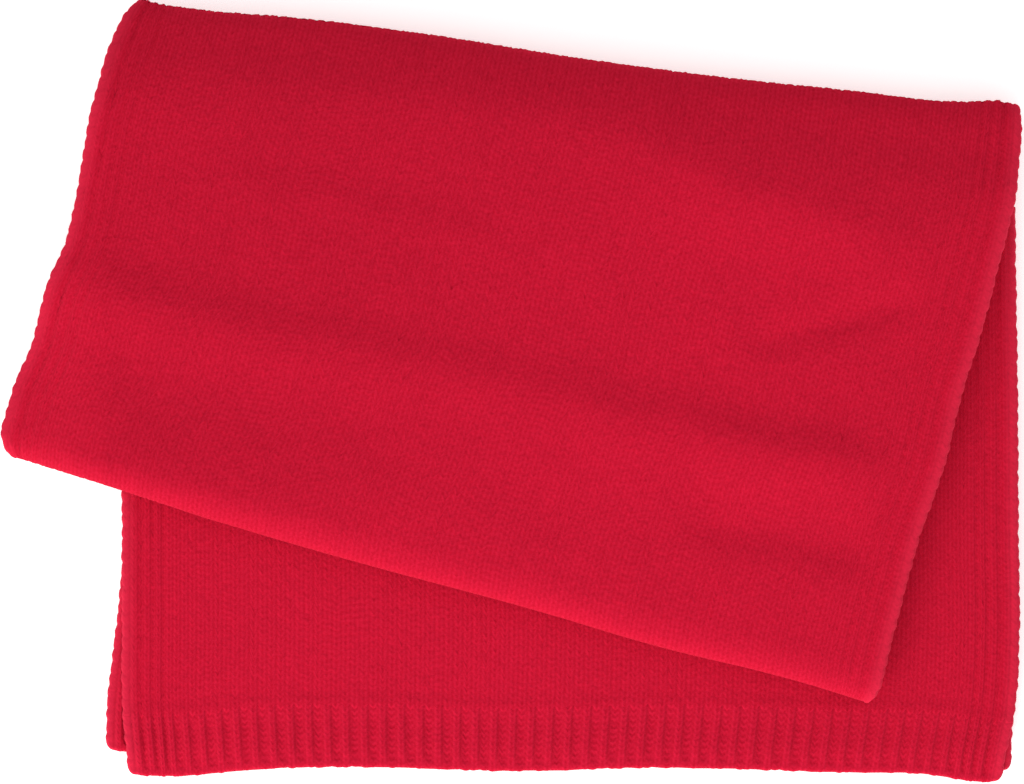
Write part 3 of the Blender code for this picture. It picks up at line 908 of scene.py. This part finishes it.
def leaf_line(share, middle, edges, end_table):
    """From a little way inside the rib to the top roll. Zero is at the rib's top."""
    joint = rib_top(end_table, share)
    lap = flat_stretch(share, middle, edges, joint - 2 * LAP, joint)[:-1]
    return measured([lap, flat_stretch(share, middle, edges, joint, slot_y(share))], zero_at=1)


def front_leaf_line(share):
    return leaf_line(share, FRONT_MIDDLE, LEAF_EDGES, FRONT_END)


def under_leaf_line(share):
    return leaf_line(share, UNDER_MIDDLE, UNDER_EDGES, UNDER_END)


def leaf_settle(x, y, z, slack):
    return z - end_sag(y)


RIB_DEPTH = 0.82 * MM  # how far a purl wale sinks back between two knit ones
RIB_GROWS = (-6.5 * MM, 2.0 * MM)  # where the ribs come out of the stockinette, from the joint
RIB_RISE = 0.32 * MM  # ribbed cloth is thicker
RIB_RISES = (-0.5 * MM, 5.0 * MM)


def ribbing(wale, beyond):
    """Height that the ribs take off, at a distance beyond the joint of rib and stockinette."""
    from_side = min(wale, len(strip_wales()) - wale)
    in_border = from_side < len(BORDER)
    depth = RIB_DEPTH * (0.5 if in_border else 1.0) * smoothstep((from_side - 0.8) / 0.6)
    wave = 0.5 - 0.5 * np.cos(np.pi * (wale - len(BORDER) - 0.5))
    grown = 1 - smoothstep((beyond - RIB_GROWS[0]) / (RIB_GROWS[1] - RIB_GROWS[0]))
    risen = 1 - smoothstep((beyond - RIB_RISES[0]) / (RIB_RISES[1] - RIB_RISES[0]))
    return RIB_RISE * risen - depth * wave * grown


def leaf_rows(line, stitched_to, after):
    """Two thin rows in the rib, two rows a course from its top and a few plain ones at the end."""
    fine = np.arange(0, stitched_to, COURSE / 2)
    return np.concatenate([[-LAP, -LAP / 2], fine, np.linspace(fine[-1], line[-1, 0], after + 1)[1:]])


def leaf_amount(stitched_to, after):
    count = len(np.arange(0, stitched_to, COURSE / 2)) + len(LAP_THIN)
    return np.concatenate([smoothstep((count - 1 - np.arange(count)) / FADE_ROWS), np.zeros(after)])


def leaf_thin(amount):
    """Inside the rib the leaf is thinner, so that the two surfaces cross at the joint."""
    return np.concatenate([LAP_THIN, np.ones(len(amount) - len(LAP_THIN))])


print("the front leaf is", [round(front_leaf_line(s)[-1, 0] / MM) for s in (0, 0.5, 1)], "mm long")

# %% The two leaves' cloth
FRONT_STITCHED, FRONT_PLAIN = 80 * COURSE, 8
UNDER_STITCHED, UNDER_PLAIN = 80 * COURSE, 8


def slip_above_joint(base):
    return smoothstep(base / SLIP_FADE)


front_leaf_cloth = cloth(
    "front_leaf_cloth",
    whole_front(),
    front_leaf_line,
    lambda share: leaf_rows(front_leaf_line(share), FRONT_STITCHED, FRONT_PLAIN),
    leaf_amount(FRONT_STITCHED, FRONT_PLAIN),
    leaf_settle,
    seed=3,
    thin=leaf_thin(leaf_amount(FRONT_STITCHED, FRONT_PLAIN)),
    bead=ribbing,
    slip=slip_above_joint,
)
under_leaf_cloth = cloth(
    "under_leaf_cloth",
    border_front(),
    under_leaf_line,
    lambda share: leaf_rows(under_leaf_line(share), UNDER_STITCHED, UNDER_PLAIN),
    leaf_amount(UNDER_STITCHED, UNDER_PLAIN),
    leaf_settle,
    seed=2,
    thin=leaf_thin(leaf_amount(UNDER_STITCHED, UNDER_PLAIN)),
    bead=ribbing,
    slip=slip_above_joint,
)

# %% [markdown]
# ## The layers inside
#
# Inside the top roll and the flap lie the other layers of the bundle. Their edges show at both
# sides, so they are real sheets too, with stitched borders. One goes round the inside of the
# top roll and meets the tucked-in end of the flap's stretch. The other is doubled inside the
# flap and goes on under the leaves, on the floor stretch.

# %% Lines of the layers inside
INSIDE_INSET = 1.4 * MM  # how far their edges lie inside the flap's
INNER_ENDS_Y = -101.2 * MM
INNER_ROWS = 300
LINING_ROWS = 60


def set_in(share):
    return 0.5 + (share - 0.5) * (1 - 2 * INSIDE_INSET / WIDTH)


def lining_line(share):
    share = set_in(share)
    start = flat_stretch(share, FRONT_MIDDLE, LEAF_EDGES, slot_y(share), seam_y(share))
    roll = top_roll(share, FRONT_MIDDLE, LEAF_EDGES, SLACK[4])[::-1]
    crest = crest_distance(share)
    face = face_stretch(share, FLAP_FLOOR + OUTER, crest, crest - RETURN_STOPS, SLACK[4])
    return measured([start, roll[1:], face[1:]])


def inner_line(share):
    share = set_in(share)
    start = flat_stretch(share, UNDER_MIDDLE, UNDER_EDGES, slot_y(share), seam_y(share))
    roll = top_roll(share, UNDER_MIDDLE, UNDER_EDGES, SLACK[5])[::-1]
    crest = crest_distance(share)
    lower = face_stretch(share, FLAP_TOP - UNDER_MIDDLE, crest, 0, SLACK[5])
    nose = bottom_roll(share, OUTER + STEP, SLACK[5], SLACK[6])
    upper = face_stretch(share, FLAP_TOP - OUTER - STEP, 0, crest, SLACK[6])
    over = top_roll(share, OUTER + STEP, FLOOR_EDGES, SLACK[6])
    floor = flat_stretch(share, OUTER + STEP, FLOOR_EDGES, seam_y(share), INNER_ENDS_Y)
    return measured([start, roll[1:], lower[1:], nose[1:], upper[1:], over[1:], floor[1:]])


def even_rows(line, count):
    return np.linspace(line[0, 0], line[-1, 0], count)


print("the layer inside is", round(inner_line(0.5)[-1, 0] / MM), "mm long")

# %% The inside layers' cloth
lining_cloth = cloth(
    "lining_cloth",
    border_front(),
    lining_line,
    lambda share: even_rows(lining_line(share), LINING_ROWS),
    np.ones(LINING_ROWS),
    flap_settle,
    seed=4,
)
inner_cloth = cloth(
    "inner_cloth",
    border_front(),
    inner_line,
    lambda share: even_rows(inner_line(share), INNER_ROWS),
    np.ones(INNER_ROWS),
    flap_settle,
    seed=5,
)

# %% [markdown]
# ## The ribbed ends
#
# Both ends of the strip are knit one, purl one. The purl wales sink far back between the knit
# ones and leave grooves, so this profile is meshed finer across. The ribs grow out of the
# stockinette within a few courses. At the end they run into the cast-off edge, a smooth bead
# with one small loop for each wale.

# %% The ribs' profile
RIB_KNIT = (
    # place in the wale, height, how much lower between two legs
    (0.00, -0.30 * MM, 0.02 * MM),
    (0.14, -0.14 * MM, 0.03 * MM),
    (0.32, 0.00 * MM, 0.06 * MM),
    (0.50, -0.17 * MM, 0.03 * MM),
    (0.68, 0.00 * MM, 0.06 * MM),
    (0.86, -0.14 * MM, 0.03 * MM),
)
RIB_PURL = (
    (0.00, -0.30 * MM, 0.04 * MM),
    (0.24, -0.24 * MM, 0.06 * MM),
    (0.50, -0.20 * MM, 0.08 * MM),
    (0.76, -0.24 * MM, 0.06 * MM),
)
BORDER_PURL = (
    (0.00, -0.30 * MM, 0.04 * MM),
    (0.24, -0.52 * MM, 0.06 * MM),
    (0.50, -0.62 * MM, 0.08 * MM),
    (0.76, -0.52 * MM, 0.06 * MM),
)


def rib_front():
    """The outer side's columns where every second body wale is a purl one."""
    columns = []
    wales = strip_wales()
    for number, (kind, start, width) in enumerate(wales):
        mirrored = start > WIDTH / 2
        stitch = {"knit": RIB_KNIT, "purl": BORDER_PURL, "chain": CHAIN}[kind]
        if len(BORDER) <= number < len(wales) - len(BORDER) and (number - len(BORDER)) % 2:
            kind, stitch = "purl", RIB_PURL
        for place, height, dip in stitch:
            if kind == "chain" and mirrored:
                place = 1 - place
            kinds = (float(kind == "purl" and place > 0), float(kind == "chain"))
            columns.append((start + place * width, WALL / 2 + height, dip, number + place, *kinds))
        if kind == "chain" and mirrored:
            columns.append((start, WALL / 2 + KNIT[0][1], 0.0, float(number), 0.0, 0.0))
    return np.array(sorted(columns)).T


print("the rib has", rib_front().shape[1], "columns")

# %% The ribs' rows and their cast-off edge
CAST_OFF = 2.6 * MM  # width of the cast-off bead
RIB_ROW = 0.5 * MM
END_ROUND = 1.1 * MM
LOOP_OUT = 0.34 * MM  # how far a cast-off loop stands out
CORNERS = 3.4 * MM  # how much the end's corners are rounded
RIB_INNER_SIDE = tuple(np.linspace(0.013, 0.987, 41))

RIB_OFFSETS = np.concatenate([
    np.array([0.0, 0.12, 0.3, 0.55, 0.8, 1.05, 1.4, 1.8, 2.2]) * MM,
    np.arange(CAST_OFF, RIB_HEIGHT - 0.01 * MM, RIB_ROW),
    np.array([RIB_HEIGHT, RIB_HEIGHT + LAP / 2, RIB_HEIGHT + LAP]),
])  # fmt: skip


def rib_line(edges, end_table, middle, share):
    end = curve(end_table, share, 1)
    past_end = flat_stretch(share, middle, edges, end - 1 * MM, end)[:-1]
    top = end + RIB_HEIGHT + 2 * LAP + LEG_RISE * COURSE
    return measured([past_end, flat_stretch(share, middle, edges, end, top)], zero_at=1)


def rib_rows(wale_at, share):
    """Rows from the cast-off edge up. Its loops push the first ones out a little."""
    wale = np.interp(share, ACROSS / WIDTH, WALE_AT)
    loop = LOOP_OUT * (abs(np.sin(np.pi * wale)) - 0.5 + 0.5 * np.sin(wale * 2.3 + wale_at))
    in_corner = np.clip(1 - min(share, 1 - share) * WIDTH / CORNERS, 0, 1)
    rounded = CORNERS * (1 - np.sqrt(1 - in_corner**2))
    rows = RIB_OFFSETS - loop * (1 - smoothstep(RIB_OFFSETS / CAST_OFF))
    return rows + rounded * (1 - smoothstep(RIB_OFFSETS / (3 * CORNERS)))


def rib_amount():
    return smoothstep((RIB_OFFSETS - CAST_OFF * 0.55) / (CAST_OFF * 1.1))


def rib_thin():
    inside = np.clip(1 - RIB_OFFSETS / END_ROUND, 0, 1)
    thin = np.maximum(np.sqrt(1 - inside**2), 0.15)
    thin[-len(LAP_THIN) :] = LAP_THIN[::-1]
    return thin


def rib_bead(wale, base):
    """The ribs, and a bead along the end with a dent between two loops."""
    out_of_edge = smoothstep((base - 1.6 * MM) / (3.4 * MM))
    across = np.exp(-(((base - 1.45 * MM) / (1.05 * MM)) ** 2))
    loops = 0.10 * MM + 0.14 * MM * abs(np.sin(np.pi * wale))
    return ribbing(wale, base - RIB_HEIGHT) * out_of_edge + across * loops


print("the rib has", len(RIB_OFFSETS), "rows")

# %% The ribs' cloth
ribs = []
for name, edges, end_table, middle, seed in (
    ("front_rib_cloth", LEAF_EDGES, FRONT_END, FRONT_MIDDLE, 21),
    ("under_rib_cloth", UNDER_EDGES, UNDER_END, UNDER_MIDDLE, 22),
):
    ribs.append(cloth(
        name,
        rib_front(),
        lambda share: rib_line(edges, end_table, middle, share),
        lambda share: rib_rows(seed, share),
        rib_amount(),
        leaf_settle,
        seed,
        thin=rib_thin(),
        bead=rib_bead,
        inner=RIB_INNER_SIDE,
        chances=0.4,
        slip=lambda base: 0.5 * smoothstep((RIB_HEIGHT - base) / SLIP_FADE),
    ))  # fmt: skip
front_rib_cloth, under_rib_cloth = ribs

# %% [markdown]
# ## Wool
#
# Felted wool scatters light in its nap: it looks soft, is paler where the nap is seen from
# the side, and has hardly any gloss. A Principled shader with a high roughness and a sheen
# lobe does that. A paler, pinker colour along the strip's edges adds painted sheen, and a
# darker colour between the yarns is painted shade. Two effects are shared by every stretch
# of cloth, so they are node groups: the stitches' own tone and height, which follow the knit
# UV map, and the nap's clouding.

# %% Helpers for node groups
def new_group(name, inputs, outputs):
    group = bpy.data.node_groups.new(name, "ShaderNodeTree")
    for label, kind, value in inputs:
        socket = group.interface.new_socket(label, in_out="INPUT", socket_type=kind)
        if value is not None:
            socket.default_value = value
    for label, kind in outputs:
        group.interface.new_socket(label, in_out="OUTPUT", socket_type=kind)
    return group, group.nodes.new("NodeGroupInput").outputs, group.nodes.new("NodeGroupOutput").inputs


def calculate(tree, operation, *values, clamp=False):
    """A Math node. A value is a number or another node's output."""
    node = tree.nodes.new("ShaderNodeMath")
    node.operation = operation
    node.use_clamp = clamp
    for socket, value in zip(node.inputs, values):
        if isinstance(value, (int, float)):
            socket.default_value = value
        else:
            tree.links.new(value, socket)
    return node.outputs[0]


def noise(tree, vector, scale, detail=2.0, roughness=0.5, stretch=None):
    if stretch:
        mapping = tree.nodes.new("ShaderNodeMapping")
        mapping.inputs["Scale"].default_value = stretch
        tree.links.new(vector, mapping.inputs["Vector"])
        vector = mapping.outputs["Vector"]
    node = tree.nodes.new("ShaderNodeTexNoise")
    node.inputs["Scale"].default_value = scale
    node.inputs["Detail"].default_value = detail
    node.inputs["Roughness"].default_value = roughness
    tree.links.new(vector, node.inputs["Vector"])
    return node.outputs["Fac"]


print("node helpers are ready")

# %% The stitches' tone and height
def knit_group():
    """From the knit UV, counted in wales and courses: how high, how far down between two legs,
    which the material paints as shade, and how light each stitch is."""
    group, given, gives = new_group(
        "Knit stitches",
        [("Knit", "NodeSocketVector", None), ("Purl", "NodeSocketFloat", 0.0), ("Rise", "NodeSocketFloat", LEG_RISE)],
        [(label, "NodeSocketFloat") for label in ("Height", "Crevice", "Tone", "Edge")],
    )
    split = group.nodes.new("ShaderNodeSeparateXYZ")
    group.links.new(given["Knit"], split.inputs[0])
    wale = split.outputs["X"]
    uneven = calculate(group, "SUBTRACT", noise(group, given["Knit"], 0.9, 2.0, 0.6), 0.5)
    course = calculate(group, "MULTIPLY_ADD", uneven, 0.6, split.outputs["Y"])
    side = calculate(group, "SUBTRACT", calculate(group, "FRACT", wale), 0.5)
    off = calculate(group, "ABSOLUTE", side)
    climb = calculate(group, "MULTIPLY", calculate(group, "MULTIPLY", off, 2.0), given["Rise"])
    leg_course = calculate(group, "SUBTRACT", course, climb)
    turn = calculate(group, "MULTIPLY", leg_course, 2 * math.pi)
    leg = calculate(group, "MULTIPLY_ADD", calculate(group, "COSINE", turn), 0.5, 0.5)
    ridge_turn = calculate(group, "MULTIPLY", off, 4 * math.pi)
    ridge = calculate(group, "MULTIPLY_ADD", calculate(group, "COSINE", ridge_turn), -0.5, 0.5)
    knit_height = calculate(group, "MULTIPLY_ADD", leg, 0.32, calculate(group, "MULTIPLY", ridge, 0.58))

    bar_turn = calculate(group, "MULTIPLY", course, 2 * math.pi)
    bend = calculate(group, "MULTIPLY", calculate(group, "COSINE", ridge_turn), 0.9)
    bar = calculate(group, "MULTIPLY_ADD", calculate(group, "COSINE", calculate(group, "ADD", bar_turn, bend)), 0.3, 0.3)
    blend = group.nodes.new("ShaderNodeMix")
    for socket, value in (("Factor", given["Purl"]), ("A", knit_height), ("B", bar)):
        group.links.new(value, blend.inputs[socket])
    height = blend.outputs["Result"]
    group.links.new(height, gives["Height"])
    group.links.new(calculate(group, "SUBTRACT", 1.0, height, clamp=True), gives["Crevice"])

    cell = group.nodes.new("ShaderNodeCombineXYZ")
    group.links.new(calculate(group, "FLOOR", calculate(group, "MULTIPLY", wale, 2.0)), cell.inputs["X"])
    group.links.new(calculate(group, "FLOOR", leg_course), cell.inputs["Y"])
    chance = group.nodes.new("ShaderNodeTexWhiteNoise")
    chance.noise_dimensions = "2D"
    group.links.new(cell.outputs[0], chance.inputs["Vector"])
    group.links.new(chance.outputs["Value"], gives["Tone"])

    # Edge: a mask along the strip's edges, where the material paints a sheen and leaves out the painted crevice shade.
    from_side = calculate(group, "MINIMUM", wale, calculate(group, "SUBTRACT", float(len(strip_wales())), wale))
    group.links.new(calculate(group, "SUBTRACT", 1.0, calculate(group, "DIVIDE", from_side, 1.8), clamp=True), gives["Edge"])
    return group


KNIT_STITCHES = knit_group()
print("group", KNIT_STITCHES.name, "gives", [s.name for s in KNIT_STITCHES.interface.items_tree if s.in_out == "OUTPUT"])

# %% The nap's clouding
def nap_group():
    """Soft clouds where the nap lies one way or the other, and its fine tangle."""
    group, given, gives = new_group(
        "Wool nap",
        [("Place", "NodeSocketVector", None)],
        [("Clouds", "NodeSocketFloat"), ("Tangle", "NodeSocketFloat"), ("Fibres", "NodeSocketFloat")],
    )
    group.links.new(noise(group, given["Place"], 38.0, 3.0, 0.6), gives["Clouds"])
    group.links.new(noise(group, given["Place"], 1150.0, 2.0, 0.6), gives["Tangle"])
    group.links.new(noise(group, given["Place"], 2600.0, 2.0, 0.6), gives["Fibres"])
    return group


WOOL_NAP = nap_group()
print("group", WOOL_NAP.name, "is ready")

# %% Wool materials
def add_group(tree, group, **links):
    node = tree.nodes.new("ShaderNodeGroup")
    node.node_tree = group
    for label, value in links.items():
        tree.links.new(value, node.inputs[label])
    return node.outputs


def mixed(tree, factor, a, b, blend="MIX"):
    """A colour Mix node. A colour is a tuple or another node's output."""
    node = tree.nodes.new("ShaderNodeMix")
    node.data_type = "RGBA"
    node.blend_type = blend
    for socket, value in ((0, factor), (6, a), (7, b)):
        if isinstance(value, (tuple, int, float)):
            node.inputs[socket].default_value = value
        else:
            tree.links.new(value, node.inputs[socket])
    return node.outputs[2]


def wool_material(name, high, shade_and_tangle_colour, painted_edge_sheen, tone_spread, bump):
    """Felted wool: `high` is the yarn's colour; the darker colour is painted shade between the yarns and also the
    tangle's random tone, and the paler one is a painted sheen along the strip's edges.
    """
    material = bpy.data.materials.new(name)
    material.use_nodes = True
    tree = material.node_tree
    shader = tree.nodes["Principled BSDF"]
    shader.inputs["Metallic"].default_value = 0.0
    shader.inputs["Specular IOR Level"].default_value = 0.0
    shader.inputs["Sheen Weight"].default_value = 0.12
    shader.inputs["Sheen Roughness"].default_value = 0.6
    shader.inputs["Sheen Tint"].default_value = (1.0, 0.18, 0.26, 1)

    knit = tree.nodes.new("ShaderNodeUVMap")
    knit.uv_map = "Knit"
    purl = tree.nodes.new("ShaderNodeAttribute")
    purl.attribute_name = "purl"
    painted_shade_and_light = tree.nodes.new("ShaderNodeAttribute")
    painted_shade_and_light.attribute_name = "painted_shade_and_light"
    place = tree.nodes.new("ShaderNodeTexCoord").outputs["Object"]
    stitches = add_group(tree, KNIT_STITCHES, Knit=knit.outputs["UV"], Purl=purl.outputs["Fac"])
    nap = add_group(tree, WOOL_NAP, Place=place)

    # Painted shade: the crevices between the yarns get the darker colour, with the tangle's random tone mixed in;
    # along the edges the painted sheen takes its place.
    depth = calculate(tree, "MULTIPLY", stitches["Crevice"], 0.45)
    depth = calculate(tree, "MULTIPLY_ADD", calculate(tree, "SUBTRACT", nap["Tangle"], 0.5), 0.9, depth, clamp=True)
    depth = calculate(tree, "MULTIPLY", depth, calculate(tree, "SUBTRACT", 1.0, stitches["Edge"]))
    yarn = mixed(tree, depth, high, shade_and_tangle_colour)
    # Painted sheen: a paler, pinker colour along the strip's edges.
    yarn = mixed(tree, calculate(tree, "MULTIPLY", stitches["Edge"], 0.7), yarn, painted_edge_sheen)
    tone = calculate(tree, "MULTIPLY_ADD", calculate(tree, "SUBTRACT", stitches["Tone"], 0.5), tone_spread, 1.0)
    clouds = calculate(tree, "MULTIPLY_ADD", calculate(tree, "SUBTRACT", nap["Clouds"], 0.5), 0.08, tone)
    # The attribute adds the soft patches of painted shade and painted light.
    clouds = calculate(tree, "ADD", clouds, painted_shade_and_light.outputs["Fac"])
    bright = tree.nodes.new("ShaderNodeVectorMath")
    bright.operation = "SCALE"
    tree.links.new(yarn, bright.inputs[0])
    tree.links.new(clouds, bright.inputs["Scale"])
    tree.links.new(bright.outputs[0], shader.inputs["Base Color"])

    rough = calculate(tree, "MULTIPLY_ADD", nap["Clouds"], 0.12, 0.84)
    tree.links.new(rough, shader.inputs["Roughness"])

    relief = calculate(tree, "MULTIPLY_ADD", nap["Tangle"], 0.55, calculate(tree, "MULTIPLY", stitches["Height"], 0.7))
    relief = calculate(tree, "MULTIPLY_ADD", nap["Fibres"], 0.3, relief)
    bump_node = tree.nodes.new("ShaderNodeBump")
    bump_node.inputs["Strength"].default_value = 1.0
    bump_node.inputs["Distance"].default_value = bump
    tree.links.new(relief, bump_node.inputs["Height"])
    tree.links.new(bump_node.outputs["Normal"], shader.inputs["Normal"])
    return material


# In both wools the darker colour is painted shade between the yarns, also used for the tangle's random tone, and the
# paler edge colour is a painted sheen.
STOCKINETTE_WOOL = wool_material(
    "stockinette_wool",
    high=(0.500, 0.0078, 0.031, 1),
    shade_and_tangle_colour=(0.325, 0.0008, 0.007, 1),
    painted_edge_sheen=(0.565, 0.0190, 0.049, 1),
    tone_spread=0.07,
    bump=0.17 * MM,
)
RIB_WOOL = wool_material(
    "rib_wool",
    high=(0.502, 0.0082, 0.032, 1),
    shade_and_tangle_colour=(0.300, 0.0008, 0.007, 1),
    painted_edge_sheen=(0.565, 0.0190, 0.049, 1),
    tone_spread=0.06,
    bump=0.17 * MM,
)
print("materials", STOCKINETTE_WOOL.name, "and", RIB_WOOL.name)

# %% [markdown]
# ## What each piece stands for
#
# Every piece rides on the part's one body and replaces its plain solid. The flat sizes are
# lengths of the strip, 300 mm wide. Together they are the part of the scarf that is modelled.

# %% Pieces, nodes and sheets
def length_of(line_at):
    """Mean length of a stretch, read at five shares of the width."""
    return float(np.mean([np.ptp(line_at(s)[:, 0]) for s in (0.02, 0.25, 0.5, 0.75, 0.98)]))


PIECES = (
    # piece, node it stands for, slot, material, length, what it rests on
    (flap_cloth, "flap_stretch", "stockinette", STOCKINETTE_WOOL, length_of(flap_line), inner_cloth),
    (floor_cloth, "floor_stretch", "stockinette", STOCKINETTE_WOOL, length_of(floor_line), flap_cloth),
    (front_leaf_cloth, "front_leaf", "stockinette", STOCKINETTE_WOOL, length_of(front_leaf_line), under_leaf_cloth),
    (under_leaf_cloth, "under_leaf", "stockinette", STOCKINETTE_WOOL, length_of(under_leaf_line), inner_cloth),
    (lining_cloth, "hidden_layers", "stockinette", STOCKINETTE_WOOL, length_of(lining_line), inner_cloth),
    (inner_cloth, "hidden_layers", "stockinette", STOCKINETTE_WOOL, length_of(inner_line), floor_cloth),
    (front_rib_cloth, "front_rib", "rib", RIB_WOOL, RIB_HEIGHT, under_rib_cloth),
    (under_rib_cloth, "under_rib", "rib", RIB_WOOL, RIB_HEIGHT, floor_cloth),
)
for piece, node, slot, material, length, below in PIECES:
    piece.data.materials.append(material)
    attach(piece, "root")
    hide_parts(node)
    print(f"{piece.name} stands for {node}, {length / MM:.0f} mm of the strip")

# %% [markdown]
# ## Floor, light and camera
#
# The scarf lies on a pale floor, seen from straight above. The key light is large and stands
# low on the near side, so that folds that turn to it are bright and their far sides darker.
# The world fills the rest in softly.

# %% Floor
FLOOR_SIZE = 3.0
FLOOR_DROP = 0.2 * MM
GLOW = 0.35  # the paper is lit a little from below, which keeps shadows on it pale
bm = bmesh.new()
bmesh.ops.create_grid(bm, x_segments=1, y_segments=1, size=FLOOR_SIZE / 2)
bmesh.ops.translate(bm, verts=bm.verts, vec=(0, 0, -FLOOR_DROP))
floor_mesh = bpy.data.meshes.new("pale_floor")
bm.to_mesh(floor_mesh)
bm.free()
pale_floor = bpy.data.objects.new("pale_floor", floor_mesh)
bpy.context.collection.objects.link(pale_floor)

paper = bpy.data.materials.new("paper")
paper.use_nodes = True
paper_shader = paper.node_tree.nodes["Principled BSDF"]
paper_shader.inputs["Base Color"].default_value = (0.93, 0.93, 0.93, 1)
paper_shader.inputs["Roughness"].default_value = 0.9
paper_shader.inputs["Specular IOR Level"].default_value = 0.1
paper_shader.inputs["Emission Color"].default_value = (1, 1, 1, 1)
paper_shader.inputs["Emission Strength"].default_value = GLOW
floor_mesh.materials.append(paper)
print("the floor is", FLOOR_SIZE, "m wide")

# %% Light
KEY_WATTS = 34.0
KEY_FROM = (-0.572, -1.417, 0.745)
FILL = 0.84


def turned_to(place, target=(0.0, 0.0, 0.0)):
    """Rotation of a light or camera at a place that looks at the target."""
    from mathutils import Vector

    return (Vector(target) - Vector(place)).to_track_quat("-Z", "Y").to_euler()


key_light = bpy.data.lights.new("key", "AREA")
key_light.shape = "RECTANGLE"
key_light.size, key_light.size_y = 1.6, 0.9
key_light.energy = KEY_WATTS
key = bpy.data.objects.new("key", key_light)
key.location = KEY_FROM
key.rotation_euler = turned_to(KEY_FROM)
bpy.context.collection.objects.link(key)

studio = bpy.data.worlds.new("studio")
studio.use_nodes = True
studio.node_tree.nodes["Background"].inputs["Color"].default_value = (1, 1, 1, 1)
studio.node_tree.nodes["Background"].inputs["Strength"].default_value = FILL
bpy.context.scene.world = studio
bpy.context.scene.view_settings.view_transform = "Standard"
print("the key light is", round(math.degrees(math.atan2(KEY_FROM[2], math.hypot(*KEY_FROM[:2])))), "degrees up")

# %% Camera
CAMERA_HEIGHT = 1.5
VIEW_WIDTH = 345.35 * MM  # width of the floor that the picture takes in, at 10 mm less height
camera_data = bpy.data.cameras.new("camera")
camera_data.sensor_width = 36
camera_data.lens = 36 * CAMERA_HEIGHT / VIEW_WIDTH
camera = bpy.data.objects.new("camera", camera_data)
camera.location = (SHIFT[0], SHIFT[1], CAMERA_HEIGHT)
bpy.context.collection.objects.link(camera)
bpy.context.scene.camera = camera
print("the lens is", round(camera_data.lens), "mm")
